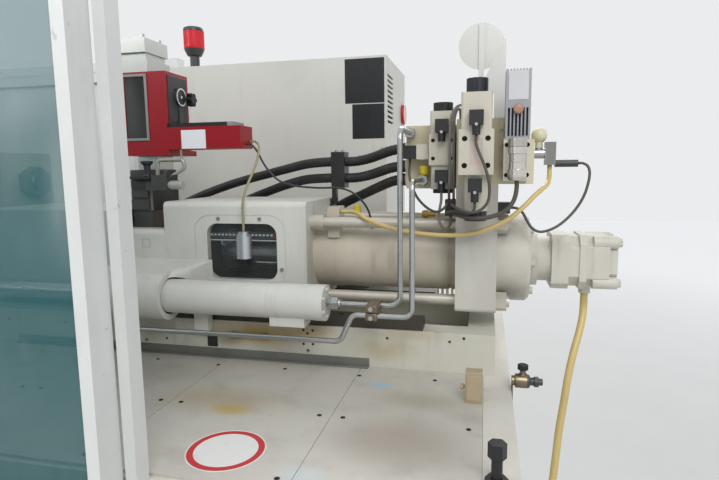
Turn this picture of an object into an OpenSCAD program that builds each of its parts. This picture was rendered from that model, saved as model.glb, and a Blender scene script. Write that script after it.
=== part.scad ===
// Hydraulic injection moulding machine, screw type, with its injection unit open to view.
// X runs along the injection axis towards the screw motor, the operator stands at -Y, Z = 0 is the floor.

/* [Base] */
// Length of the base over its two end walls
base_l = 3410; // [3300:10:3500]
// Height of the welded base's top above the floor
base_top = 900; // [860:10:940]
// Clear height under the base walls
base_gap = 70; // [50:5:90]
// Distance from the injection axis to the near wall's face
near_y = 675; // [650:5:700]
// Distance from the injection axis to the far wall's face
far_y = 760; // [740:5:780]
// Plate thickness of the base walls
wall_t = 12; // [8:1:16]
// Width of a side panel's window in the wall
panel_w = 350; // [300:10:360]
// Height of a side panel's window in the wall
panel_h = 420; // [360:10:480]
// Thickness of the side panels
panel_t = 4; // [2:1:5]
// Diameter of a levelling foot's pad
foot_d = 110; // [90:5:130]

/* [Deck and bed] */
// Height of the deck above the base's top
deck_h = 84; // [74:2:100]
// Thickness of the deck plates
deck_t = 5; // [4:1:8]
// Pitch of the seams between the deck plates
deck_pitch = 330.5; // [320:0.5:340]
// Width of the rear end rail
rail_w = 56; // [50:2:64]
// Width of the unit's bed
bed_w = 340; // [330:5:350]
// Height of the bed above the deck
bed_h = 90; // [84:2:96]
// Height of the dark guide rails on the bed
guide_h = 24; // [20:1:28]
// Width of a guide rail
guide_w = 45; // [36:1:52]

/* [Injection unit] */
// Height of the injection axis above the deck
axis_h = 236; // [232:2:250]
// Length of the feed housing's tall part
housing_l = 376; // [370:2:390]
// Half width of the feed housing
housing_y = 130; // [128:1:136]
// Height of the feed housing's top above the injection axis
housing_up = 140; // [134:2:146]
// Length of the low shelf in front of the tall part
shelf_l = 123; // [110:1:130]
// Height of the shelf above the injection axis
shelf_up = 70; // [66:1:76]
// Width of the sight window
window_w = 184; // [170:2:190]
// Height of the sight window
window_h = 138; // [130:2:142]
// Outer diameter of the injection cylinder
cyl_d = 165; // [160:1:170]
// Length of the injection cylinder
cyl_l = 349; // [340:1:360]
// Bore of the injection cylinder
cyl_bore = 120; // [110:2:126]
// Diameter of the tie rods beside the injection cylinder
rod_d = 25; // [20:1:28]
// Offset of the tie rods from the axis, sideways and in height
rod_off = 89; // [86:1:92]
// Thickness of the rear cross plate
plate_t = 90; // [80:2:100]
// Diameter of the bearing housing
bearing_d = 205; // [190:5:215]
// Width across the screw motor
motor_w = 124; // [120:1:130]
// Diameter of the plasticizing screw
screw_d = 35; // [30:1:40]
// Outer diameter of the barrel
barrel_d = 90; // [84:2:100]
// Running clearance of shafts and pistons
fit = 0.05; // [0.03:0.01:0.08]
// Diameter of the carriage cylinder
lift_d = 80; // [76:1:82]
// Length of the carriage cylinder
lift_l = 512; // [500:2:530]
// Diameter of the carriage cylinder's rod
lift_rod = 45; // [40:1:48]
// Sideways offset of the carriage cylinders from the axis
lift_y = 215; // [213:1:220]

/* [Clamp unit] */
// Width and height of the platens
platen_w = 560; // [550:5:580]
// Thickness of the fixed and the moving platen
platen_t = 120; // [110:5:130]
// Diameter of the tie bars
bar_d = 60; // [50:2:64]
// Distance of each tie bar from the axis, sideways and in height
bar_off = 185; // [180:1:190]
// Opening between the platens at rest
daylight = 440; // [420:5:460]
// Diameter of the clamp ram
ram_d = 160; // [140:5:170]
// Diameter of the locating bore in the fixed platen
locate_d = 125; // [100:5:130]
// Radius of the mould fixing holes
mould_hole_r = 8; // [6:0.5:9]

/* [Guards and cabinet] */
// Height of the guard doors' underside above the base's top
door_low = 25; // [25:1:35]
// Height of the guard doors' top above the floor
door_top = 1851; // [1800:1:1880]
// Width of a guard door's upright profile
stile_w = 20; // [18:1:24]
// Depth of the outer guard door's profile
stile_t = 45; // [40:1:46]
// Width of the outer guard door
nozzle_door_w = 719; // [700:1:730]
// Width of the mould guard door
mould_door_w = 1078; // [1050:1:1090]
// Width of the control cabinet
cabinet_w = 913; // [880:1:930]
// Depth of the control cabinet
cabinet_d = 394; // [380:1:400]
// Height of the control cabinet
cabinet_h = 803; // [780:1:820]
// Sheet thickness of the cabinet with its folded edges
cabinet_t = 6; // [4:1:10]

/* [Hidden] */

$fn = 64;
// Seam left between two profiles that are bolted together
seam = 0.2;
// Gap between a sliding piece and its seat
slip = 0.3;

base_x1 = 1610;
base_x0 = base_x1 - base_l;
deck_z = base_top + deck_h;
bed_top = deck_z + bed_h;
guide_top = bed_top + guide_h;
axis_z = deck_z + axis_h;
cross_t = 12;
cross_x = [base_x0, -700, 420, base_x1 - cross_t];
cross_window = 220;
girder_w = 80;
girder_h = 100;
girder_y = 200;
pan_z = base_gap + 6;
deck_x0 = 130;
rail_x0 = base_x1 - rail_w;
deck_seams = [for (i = [3:-1:0]) 1281.5 - i * deck_pitch];
bed_x0 = 130;
bed_x1 = base_x1 - 32;
web_t = 60;
panel_n = 6;
panel_pitch = (base_l - 120) / panel_n;
panel_z = (base_gap + base_top) / 2;
// Cooling water valve on the end rail
valve_p = [base_x1 + 22, -235, deck_z + 19];

// Places along the injection axis, from the housing to the motor
housing_x1 = 1139;
housing_x0 = housing_x1 - housing_l;
shelf_x0 = housing_x0 - shelf_l;
plate_x0 = housing_x1 + cyl_l;
plate_x1 = plate_x0 + plate_t;
bearing_l = 75;
bearing_x1 = plate_x1 + bearing_l;
adapter_l = 18;
neck_l = 30;
motor_x0 = bearing_x1 + adapter_l + neck_l;
motor_blocks = [37, 23, 15, 66];
motor_x1 = motor_x0 + motor_blocks[0] + motor_blocks[1] + motor_blocks[2] + motor_blocks[3];
motor_bolt = 8;
housing_z0 = guide_top + slip;
housing_top = axis_z + housing_up;
shelf_z = axis_z + shelf_up;
window_x = 972;
window_z = axis_z + 18;
frame_x = 967;
frame_w = 240;
frame_h = 172;
frame_z = axis_z + 22;
cavity = [210, 224, 180];
lift_z = axis_z - 78;
lift_boss_d = 114;
lift_boss_x1 = shelf_x0 + 186;
lift_x0 = shelf_x0 + 60;
lift_x1 = lift_x0 + lift_l;
lift_gland = 36;
lift_bore = 60;
lift_cap = 24;
lift_piston_x = lift_x0 + 200;
port_x = shelf_x0 + 80;
port_y = lift_y + 36;
port_z = lift_z - lift_boss_d / 2;
// Barrel, screw and the coupling of the injection piston
barrel_x0 = 160;
barrel_x1 = housing_x0 - 1;
barrel_flange_t = 28;
collar_x0 = window_x - cavity[0] / 2 + 2;
coupling_x0 = collar_x0 + 11;
coupling_l = 66;
tail_x1 = 1695;
tail_d = 40;
piston_rod_d = 70;
head_l = 12;
piston_x0 = housing_x1 + head_l + 1;
piston_l = 50;

// Places along the clamp unit
platen_x = [-platen_t / 2, platen_t / 2];
moving_x1 = platen_x[0] - daylight;
moving_x0 = moving_x1 - platen_t;
clamp_x0 = base_x0;
clamp_l = 320;
end_t = 140;
end_x0 = clamp_x0 + clamp_l;
end_x1 = end_x0 + end_t;
cover_x0 = clamp_x0 - 50;
clamp_d = 300;
clamp_bore = 220;
ram_head = 40;
ram_x0 = clamp_x0 + 15;
locate_deep = 30;
mould_hole_y = 140;
mould_hole_z = 105;
mould_hole_deep = 40;
ejector_y = 170;
ejector_d = 20;
nozzle_gap = 60;
nozzle_x = platen_x[0] + locate_deep + nozzle_gap + 0.5;

// Guards: the outer door runs before the posts, the mould door between them
post_y = [-(near_y + 29), -near_y];
post_x = [1053, 1071];
left_post_x = -770;
door_z0 = base_top + door_low + 0.5;
outer_y1 = post_y[0] - 0.5;
outer_y0 = outer_y1 - stile_t;
outer_x1 = post_x[0] - 4;
outer_x0 = outer_x1 - nozzle_door_w;
mould_x0 = left_post_x + 20;
mould_t = 22;
rear_x = [-690, 105];
rear_door_y = [far_y - 70, far_y - 48];
top_rail_h = 38;
glass_t = 6;
nozzle_rail = 40;
mould_stile = 40;
mould_y = [post_y[0] + 0.5, post_y[0] + 0.5 + mould_t];
rear_posts = [-1400, -20, 110];

// Operator panel on its pin beside the left post
panel_axis = [left_post_x - 30, post_y[0] - 18];
panel_pin_d = 16;
panel_pin_z = 1420;
screen_x1 = left_post_x - 80;
screen_w = 330;
screen_z = [1250, 1650];
screen_y = [post_y[0] - 48, post_y[0] + 2];
button_p = [screen_x1 - 50, screen_y[0], screen_z[0] + 60];
button_d = 16;

cab_x1 = 1243;
cab_x0 = cab_x1 - cabinet_w;
cab_y1 = far_y + 4;
cab_y0 = cab_y1 - cabinet_d;
cab_top = deck_z + cabinet_h;
door_t = 14;
cab_door_y = cab_y1 + slip;
cab_hinge = [cab_x1 - 8, cab_door_y + door_t / 2];
hinge_pin_d = 8;

// Valves on the manifold above the rear plate
plate_low = axis_z - 108;
plate_top = axis_z + 180;
manifold_top = plate_top + 140;
valve_x = plate_x0 + 43;
valve_w = 70;
valve_z = [plate_top + 21, plate_top + 113];
left_valve_x = plate_x0 - 33;
prop_x = plate_x1 + 33;
prop_w = 52;
amp_w = 48;
amp_h = 135;
wing_x0 = 1366;
wing_y = [-45, 60];
sensor_x = plate_x1 + 72;

// Separator on the feed throat
throat_x = [shelf_x0 + 8, housing_x0 - 0.3];
throat_top = shelf_z + 150;
column_top = throat_top + 36;
flange_top = column_top + 14;
sep_y = [-100, 6];
bar_z = [flange_top, flange_top + 55];
box_top = flange_top + 194;
separator_x1 = housing_x0 + 5;
bar_x1 = 966;
separator_wall = 5;
inlet = [shelf_x0 + 42, sep_y[0] + 53];
inlet_d = 50;
knob_p = [sep_y[1] - 18, box_top - 62];
door_x = [shelf_x0 + 12, separator_x1 - 58];
door_z = [flange_top + 30, box_top - 12];

// Granulate passage from the separator down into the barrel
feed = [shelf_x0 + 34, -16];
feed_d = 32;
slide_z = throat_top - 24;
slide_t = 8;
gate_x = [shelf_x0 + 12, shelf_x0 + 80];

// Routes of the hoses and leads, each point a ring of the tube
hose_d = 27;
hose_upper_route = [[560, 370, 1318], [560, 330, 1318], [563, 304, 1319], [573, 279, 1323],
  [590, 256, 1329], [614, 237, 1337], [646, 224, 1348], [700, 214, 1367], [780, 206, 1392],
  [850, 198, 1410], [915, 184, 1424], [985, 158, 1438], [1060, 118, 1451], [1130, 100, 1456],
  [1195, 100, 1456], [1225, 96, 1459], [1254, 85, 1465], [1282, 69, 1473], [1310, 54, 1481],
  [1334, 46, 1485], [1352, 45, 1486], [1366, 45, 1486]];
hose_middle_route = [[760, 370, 1318], [760, 330, 1318], [763, 304, 1319], [773, 279, 1323],
  [790, 256, 1330], [812, 238, 1338], [842, 222, 1349], [884, 206, 1363], [935, 186, 1379],
  [990, 158, 1394], [1060, 120, 1408], [1130, 100, 1412], [1195, 100, 1412], [1225, 96, 1415],
  [1254, 85, 1421], [1282, 69, 1429], [1310, 54, 1437], [1334, 46, 1441], [1352, 45, 1442],
  [1366, 45, 1442]];
hose_lower_route = [[960, 370, 1240], [960, 330, 1240], [963, 304, 1241], [973, 279, 1246],
  [990, 254, 1255], [1014, 230, 1268], [1045, 207, 1284], [1088, 182, 1305], [1138, 156, 1329],
  [1188, 131, 1352], [1225, 112, 1367], [1258, 91, 1381], [1288, 71, 1393], [1312, 57, 1402],
  [1334, 48, 1407], [1352, 45, 1408], [1366, 45, 1408]];
pressure_d = 10;
pressure_route = [[1206, -62, 1333], [1220, -62, 1333], [1236, -68, 1333], [1250, -81, 1332],
  [1264, -97, 1328], [1284, -113, 1319], [1315, -126, 1309], [1360, -135, 1298], [1410, -146, 1292],
  [1460, -154, 1290], [1510, -158, 1293], [1556, -157, 1305], [1598, -151, 1325], [1630, -140, 1351],
  [1654, -125, 1375], [1672, -108, 1390], [1683, -89, 1399], [1687, -74, 1407], [1689, -64, 1419],
  [1689, -60, 1431], [1689, -60, 1440]];
drain_d = 17;
drain_route = [[1783, 0, 1140], [1783, 0, 1112], [1780, -10, 1084], [1770, -30, 1048],
  [1757, -50, 1008], [1745, -68, 958], [1735, -84, 898], [1725, -98, 835], [1718, -112, 775],
  [1712, -122, 725], [1702, -130, 682], [1686, -134, 646], [1664, -134, 620], [1640, -134, 608],
  [1622, -134, 608]];
lead_d = 6;
separator_route = [[966, -45, 1508], [980, -45, 1508], [994, -56, 1499], [1002, -76, 1479],
  [1004, -98, 1452], [1001, -119, 1425], [996, -138, 1398], [991, -149, 1370], [989, -151, 1345],
  [989, -151, 1318], [989, -151, 1290]];
upper_lead = [[1531, -219, 1501], [1531, -219, 1484], [1538, -221, 1464], [1548, -223, 1440],
  [1556, -224, 1414], [1559, -224, 1390], [1556, -223, 1368], [1545, -222, 1353], [1530, -221, 1346],
  [1514, -216, 1346], [1500, -206, 1350], [1488, -190, 1355], [1481, -170, 1358], [1480, -148, 1356],
  [1480, -128, 1356]];
lower_lead = [[1530, -213, 1366], [1530, -213, 1354], [1526, -212, 1346], [1517, -208, 1342],
  [1505, -200, 1343], [1492, -188, 1345], [1480, -171, 1344], [1471, -150, 1340], [1470, -128, 1340]];
left_lead = [[1455, -119, 1384], [1455, -119, 1364], [1452, -124, 1345], [1451, -131, 1327],
  [1455, -135, 1312], [1463, -133, 1302], [1471, -126, 1303], [1476, -118, 1314], [1476, -116, 1330]];
small_lead = [[1378, -71, 1458], [1378, -71, 1444], [1377, -75, 1426], [1383, -85, 1400],
  [1399, -102, 1370], [1422, -122, 1349], [1444, -140, 1340], [1459, -150, 1345], [1468, -148, 1354],
  [1470, -140, 1358], [1470, -128, 1358]];
sensor_lead = [[1748, -60, 1443], [1758, -60, 1443], [1768, -62, 1437], [1772, -66, 1424],
  [1770, -71, 1404], [1762, -77, 1376], [1748, -84, 1350], [1728, -92, 1326], [1706, -100, 1308],
  [1684, -107, 1298], [1666, -112, 1296], [1651, -114, 1304], [1640, -114, 1320], [1631, -113, 1337],
  [1618, -113, 1347], [1604, -113, 1348]];
prop_lead_d = 9;
prop_lead = [[1611, -218, 1410], [1611, -218, 1392], [1607, -218, 1372], [1596, -218, 1354],
  [1578, -216, 1342], [1556, -213, 1335], [1532, -209, 1333], [1512, -200, 1334], [1498, -184, 1336],
  [1488, -166, 1338], [1482, -148, 1340], [1482, -128, 1340]];
side_lead = [[1503, -84, 1540], [1503, -84, 1558], [1501, -98, 1569], [1494, -117, 1571],
  [1484, -131, 1562], [1476, -136, 1542], [1474, -136, 1510], [1474, -136, 1460], [1474, -135, 1424],
  [1473, -130, 1396], [1472, -118, 1380], [1472, -112, 1366]];
rear_lead = [[1493, -70, 1540], [1493, -70, 1556], [1492, -84, 1565], [1489, -102, 1565],
  [1485, -116, 1555], [1482, -123, 1536], [1482, -124, 1500], [1482, -124, 1460], [1482, -124, 1420],
  [1482, -121, 1396], [1482, -114, 1380], [1482, -112, 1366]];

function unit(v) = v / norm(v);
function route_dir(p, i) = unit(p[min(i + 1, len(p) - 1)] - p[max(i - 1, 0)]);
// Side vector of each ring, carried along the route so that the tube does not twist
function side_at(p, i) = i == 0
  ? unit(cross(route_dir(p, 0), abs(route_dir(p, 0)[2]) < 0.9 ? [0, 0, 1] : [1, 0, 0]))
  : let (s = side_at(p, i - 1), t = route_dir(p, i)) unit(s - t * (s * t));

// Tube swept along the points of a route
module cord(route, d, sides = 10) {
  n = len(route);
  rings = [for (i = [0:n - 1]) let (t = route_dir(route, i), s = side_at(route, i), b = cross(t, s))
    for (k = [0:sides - 1]) route[i] + d / 2 * (cos(360 * k / sides) * s + sin(360 * k / sides) * b)];
  walls = [for (i = [0:n - 2]) for (k = [0:sides - 1]) let (a = i * sides, m = (k + 1) % sides)
    [a + k, a + sides + k, a + sides + m, a + m]];
  ends = [[for (k = [0:sides - 1]) k], [for (k = [sides - 1:-1:0]) (n - 1) * sides + k]];
  polyhedron(rings, concat(walls, ends));
}

// Box between two corners
module span(a, b) {
  translate(a) cube(b - a);
}

// Round bar along X from x0 to x1
module bar_x(x0, x1, d, y = 0, z = axis_z) {
  translate([x0, y, z]) rotate([0, 90, 0]) cylinder(h = x1 - x0, d = d);
}

// Round bar along Y
module bar_y(y0, y1, d, x, z) {
  translate([x, y0, z]) rotate([-90, 0, 0]) cylinder(h = y1 - y0, d = d);
}

// Box along Y whose four long edges are rounded, seen from the front
module round_front(x, z, w, h, y0, y1, r) {
  translate([x - w / 2 + r, y1, z - h / 2 + r]) rotate([90, 0, 0]) linear_extrude(y1 - y0) union() {
    translate([0, -r]) square([w - 2 * r, h]);
    translate([-r, 0]) square([w, h - 2 * r]);
    for (i = [0, 1], j = [0, 1]) translate([i * (w - 2 * r), j * (h - 2 * r)]) circle(r);
  }
}

// Hexagon nut along X
module nut_x(x0, x1, across, y, z) {
  translate([x0, y, z]) rotate([0, 90, 0]) cylinder(h = x1 - x0, d = across / cos(30), $fn = 6);
}

// Straight runs and round bends of a steel pipe
module pipe_run(route, d, bend) {
  n = len(route);
  for (i = [0:n - 2]) {
    u = unit(route[i + 1] - route[i]);
    cut0 = i == 0 ? 0 : bend_cut(route, i, bend);
    cut1 = i == n - 2 ? 0 : bend_cut(route, i + 1, bend);
    frame_at(route[i] + u * cut0, u) cylinder(h = norm(route[i + 1] - route[i]) - cut0 - cut1, d = d);
  }
  for (i = [1:n - 2]) {
    u = unit(route[i] - route[i - 1]);
    v = unit(route[i + 1] - route[i]);
    inward = unit(v - u * (u * v));
    start = route[i] - u * bend_cut(route, i, bend);
    x = -inward;
    z = cross(x, u);
    c = start + inward * bend;
    multmatrix([[x[0], u[0], z[0], c[0]], [x[1], u[1], z[1], c[1]], [x[2], u[2], z[2], c[2]], [0, 0, 0, 1]])
      rotate_extrude(angle = acos(u * v)) translate([bend, 0]) circle(d = d);
  }
}
function bend_cut(route, i, bend) =
  bend * tan(acos(unit(route[i] - route[i - 1]) * unit(route[i + 1] - route[i])) / 2);
module frame_at(p, u) {
  a = abs(u[2]) < 0.9 ? unit(cross([0, 0, 1], u)) : unit(cross([1, 0, 0], u));
  b = cross(u, a);
  multmatrix([[a[0], b[0], u[0], p[0]], [a[1], b[1], u[1], p[1]], [a[2], b[2], u[2], p[2]],
    [0, 0, 0, 1]]) children();
}

function panel_x(i) = base_x0 + 60 + (i + 0.5) * panel_pitch;

module base_walls() {
  color("gainsboro") for (s = [0, 1]) {
    y0 = s == 0 ? -near_y : far_y - wall_t;
    lip0 = s == 0 ? -near_y : far_y - 60;
    difference() {
      union() {
        span([base_x0, y0, base_gap], [base_x1, y0 + wall_t, base_top]);
        span([base_x0, lip0, base_top - wall_t], [base_x1, lip0 + 60, base_top]);
        span([base_x0, lip0, base_gap], [base_x1, lip0 + 60, base_gap + wall_t]);
      }
      for (i = [0:panel_n - 1])
        span([panel_x(i) - panel_w / 2, y0 - 1, panel_z - panel_h / 2],
          [panel_x(i) + panel_w / 2, y0 + wall_t + 1, panel_z + panel_h / 2]);
    }
  }
}

module cross_band(x, z0, z1) {
  span([x, -near_y + 60 + seam, z0], [x + cross_t, far_y - 60 - seam, z1]);
}

module base_crossmembers() {
  window_ys = [-400, 0, 400];
  color("gainsboro") {
    for (x = [cross_x[0], cross_x[3]]) cross_band(x, base_gap, base_top);
    // Inner plates: two bands with uprights between them, welded
    for (x = [cross_x[1], cross_x[2]]) {
      cross_band(x, base_gap, panel_z - cross_window / 2 - seam);
      cross_band(x, panel_z + cross_window / 2 + seam, base_top);
      for (i = [0:3]) span([x, i == 0 ? -near_y + 60 + seam : window_ys[i - 1] + cross_window / 2,
        panel_z - cross_window / 2], [x + cross_t, i == 3 ? far_y - 60 - seam :
        window_ys[i] - cross_window / 2, panel_z + cross_window / 2]);
    }
    // Floor under the hydraulic unit
    span([cross_x[2] + cross_t + seam, -near_y + 60 + seam, base_gap],
      [cross_x[3] - seam, far_y - 60 - seam, pan_z]);
    for (s = [-1, 1], i = [0, 1])
      span([cross_x[i] + cross_t + seam, s * girder_y + (s < 0 ? -girder_w : 0), base_top - girder_h],
        [cross_x[i + 1] - seam, s * girder_y + (s < 0 ? 0 : girder_w), base_top]);
  }
}

module levelling_feet() {
  xs = [base_x0 + 90, cross_x[1], cross_x[2], base_x1 - 90];
  color("dimgray") for (x = xs, y = [-near_y + 34, far_y - 34])
    translate([x, y, 0]) {
      cylinder(h = 18, d = foot_d);
      cylinder(h = 26, d1 = foot_d * 0.7, d2 = foot_d * 0.4);
      cylinder(h = base_gap, d = 24);
      translate([0, 0, base_gap - 18]) cylinder(h = 18, d = 46, $fn = 6);
    }
}

// One louvred cover of the base, its face towards -Y
module side_panel(x, y) {
  difference() {
    span([x - panel_w / 2 - 20, y, panel_z - panel_h / 2 - 20],
      [x + panel_w / 2 + 20, y + panel_t, panel_z + panel_h / 2 + 20]);
    for (k = [0:7]) span([x - 110, y - 1, panel_z + 18 * k - 60],
      [x + 110, y + panel_t + 1, panel_z + 18 * k - 54]);
  }
}

module side_panels() {
  color("whitesmoke") {
    for (i = [0:panel_n - 1]) {
      side_panel(panel_x(i), -near_y - panel_t);
      side_panel(panel_x(i), far_y);
    }
    vent_grille();
  }
}

// Upright grille on the far side of the deck, behind the rear plate
module vent_grille() {
  x0 = cab_x1 + 40;
  x1 = rail_x0 - 8;
  difference() {
    span([x0, 330, deck_z], [x1, 342, deck_z + 136]);
    for (k = [0:15]) span([x0 + 12 + 15 * k, 329, deck_z + 16], [x0 + 19 + 15 * k, 343, deck_z + 120]);
  }
  for (x = [x0, x1 - 12]) span([x, 342, deck_z], [x + 12, 380, deck_z + 60]);
}

module hydraulic_unit() {
  tank = [520, 560, 430];
  x0 = cross_x[2] + cross_t + 40;
  color("lightsteelblue") {
    span([x0, -220, pan_z], [x0 + tank[0], -220 + tank[1], pan_z + tank[2]]);
    for (k = [0:3]) span([x0 + 60 + 120 * k, -232, pan_z + 30],
      [x0 + 72 + 120 * k, -219, pan_z + tank[2] - 40]);
    translate([x0 + 400, 150, pan_z + tank[2]]) cylinder(h = 90, d = 110);
    // Pump and electric motor in line beside the tank
    span([x0 + tank[0] + 60, -150, pan_z], [x0 + tank[0] + 560, 150, pan_z + 40]);
    bar_x(x0 + tank[0] + 240, x0 + tank[0] + 540, 260, 0, pan_z + 200);
    bar_x(x0 + tank[0] + 70, x0 + tank[0] + 241, 130, 0, pan_z + 200);
    bar_x(x0 + tank[0] - 1, x0 + tank[0] + 71, 60, 0, pan_z + 200);
    span([x0 + tank[0] + 260, -110, pan_z + 39], [x0 + tank[0] + 520, 110, pan_z + 120]);
  }
}

module deck_frame() {
  stringer_h = deck_h - deck_t;
  color("gainsboro") {
    for (y = [-near_y, -430, -bed_w / 2 - 40, bed_w / 2, 430, far_y - 40])
      span([deck_x0, y, base_top], [rail_x0 + 1, y + 40, base_top + stringer_h]);
    for (x = concat([deck_x0 + 20], deck_seams)) {
      span([x - 20, -near_y, base_top], [x + 20, -bed_w / 2, base_top + stringer_h]);
      span([x - 20, bed_w / 2, base_top], [x + 20, far_y, base_top + stringer_h]);
    }
    // Rear end rail, a channel that lies open to the outside
    difference() {
      span([rail_x0, -near_y, base_top], [base_x1, far_y, deck_z]);
      span([rail_x0 + 8, -near_y - 1, base_top + 10], [base_x1 + 1, far_y + 1, deck_z - 6]);
      span([rail_x0 - 1, -bed_w / 2 - slip, base_top - 1], [bed_x1 + slip, bed_w / 2 + slip, deck_z + 1]);
    }
    // Locking bolt with its nut on the rail
    translate([rail_x0 + 20, -near_y + 85, deck_z - 1]) {
      cylinder(h = 12, d = 34, $fn = 6);
      cylinder(h = 46, d = 16);
      translate([0, 0, 44]) cylinder(h = 22, d = 27, $fn = 6);
    }
  }
}

module deck_plates() {
  z0 = deck_z - deck_t;
  xs = concat([deck_x0], deck_seams, [rail_x0]);
  color("lightgray") for (i = [0:len(xs) - 2]) {
    span([xs[i] + 0.5, -near_y + 10, z0], [xs[i + 1] - 0.5, -bed_w / 2 - 0.5, deck_z]);
    span([xs[i] + 0.5, bed_w / 2 + 0.5, z0], [xs[i + 1] - 0.5, far_y - 2, deck_z]);
  }
}

module unit_bed() {
  color("ivory") difference() {
    span([bed_x0, -bed_w / 2, base_top], [bed_x1, bed_w / 2, bed_top]);
    span([bed_x0 + 60, -bed_w / 2 + web_t, bed_top - 60], [bed_x1 - 60, bed_w / 2 - web_t, bed_top + 1]);
    for (x = [905, 1150, 1340, 1480]) bar_y(-bed_w / 2 - 1, -bed_w / 2 + 12, 7, x, bed_top - 20);
    for (x = [720, 1150]) bar_y(-bed_w / 2 - 1, -bed_w / 2 + 12, 9, x, bed_top - 62);
    span([880, -bed_w / 2 - 1, bed_top - 42], [905, -bed_w / 2 + 8, bed_top - 28]);
  }
}

module guide_rails() {
  color("dimgray") for (s = [-1, 1]) translate([0, s * (bed_w / 2 - 5 - guide_w / 2), bed_top])
    difference() {
      translate([shelf_x0 - 130, -guide_w / 2, 0]) cube([910, guide_w, guide_h]);
      for (k = [0:6]) translate([shelf_x0 - 90 + 135 * k, 0, guide_h - 8]) cylinder(h = 9, d = 14);
    }
}

module fixed_platen() {
  h = platen_w / 2;
  color("whitesmoke") difference() {
    union() {
      span([platen_x[0], -h, axis_z - h], [platen_x[1], h, axis_z + h]);
      for (s = [-1, 1]) span([platen_x[0], s * (h - 40) - 40, base_top],
        [platen_x[1], s * (h - 40) + 40, axis_z - h + 1]);
    }
    bar_x(platen_x[0] - 1, platen_x[0] + locate_deep, locate_d);
    bar_x(platen_x[0], platen_x[1] + 1, locate_d - 15);
    for (y = [-1, 1], z = [-1, 1]) {
      bar_x(platen_x[0] - 1, platen_x[1] + 1, bar_d, y * bar_off, axis_z + z * bar_off);
      bar_x(platen_x[0] - 1, platen_x[0] + mould_hole_deep, 2 * mould_hole_r,
        y * mould_hole_y, axis_z + z * mould_hole_z);
    }
  }
}

module tie_bars() {
  nut_l = 45;
  color("silver") for (y = [-1, 1], z = [-1, 1]) {
    bar_x(end_x0 - nut_l, platen_x[1] + nut_l, bar_d, y * bar_off, axis_z + z * bar_off);
    nut_x(end_x0 - nut_l + 5, end_x0, 90, y * bar_off, axis_z + z * bar_off);
    nut_x(platen_x[1], platen_x[1] + nut_l - 5, 90, y * bar_off, axis_z + z * bar_off);
  }
}

// End platen and clamp cylinder, one casting, with its bolted end cover
module end_platen() {
  h = platen_w / 2;
  color("whitesmoke") {
    difference() {
      union() {
        span([end_x0, -h, axis_z - h], [end_x1, h, axis_z + h]);
        for (s = [-1, 1]) span([end_x0, s * (h - 40) - 40, base_top],
          [end_x1, s * (h - 40) + 40, axis_z - h + 1]);
        bar_x(clamp_x0, end_x0 + 1, clamp_d);
      }
      bar_x(end_x0, end_x1 + 1, ram_d + 2 * fit);
      bar_x(clamp_x0 - 1, end_x0 + 1, clamp_bore);
      for (y = [-1, 1], z = [-1, 1])
        bar_x(end_x0 - 1, end_x1 + 1, bar_d, y * bar_off, axis_z + z * bar_off);
    }
    bar_x(cover_x0 + 12, clamp_x0, clamp_d);
    for (a = [15:30:345])
      bar_x(cover_x0, cover_x0 + 13, 22, 125 * cos(a), axis_z + 125 * sin(a));
  }
}

module moving_platen() {
  h = platen_w / 2;
  color("whitesmoke") difference() {
    union() {
      span([moving_x0, -h, axis_z - h], [moving_x1, h, axis_z + h]);
      bar_x(ram_x0, moving_x0 + 1, ram_d);
      bar_x(ram_x0, ram_x0 + ram_head, clamp_bore - 2 * fit);
      bar_x(moving_x0 - 50, moving_x0 + 1, ram_d + 70);
    }
    for (y = [-1, 1], z = [-1, 1]) {
      bar_x(moving_x0 - 1, moving_x1 + 1, bar_d + 2 * fit, y * bar_off, axis_z + z * bar_off);
      bar_x(moving_x1 - mould_hole_deep, moving_x1 + 1, 2 * mould_hole_r,
        y * mould_hole_y, axis_z + z * mould_hole_z);
    }
    for (s = [-1, 1]) bar_x(moving_x0 - 1, moving_x1 + 1, ejector_d + 2 * fit, s * ejector_y, axis_z);
  }
}

// Ejector rods joined by a yoke that rides around the clamp ram
module ejector() {
  x0 = moving_x0 - 200;
  yoke_t = 31;
  color("silver") {
    for (s = [-1, 1]) bar_x(x0 + yoke_t - 1, moving_x1 - 2, ejector_d, s * ejector_y, axis_z);
    difference() {
      union() {
        bar_x(x0, x0 + yoke_t, ram_d + 70);
        span([x0, -ejector_y - 22, axis_z - 30], [x0 + yoke_t, ejector_y + 22, axis_z + 30]);
      }
      bar_x(x0 - 1, x0 + yoke_t + 1, ram_d + 2 * fit);
    }
  }
}

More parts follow.
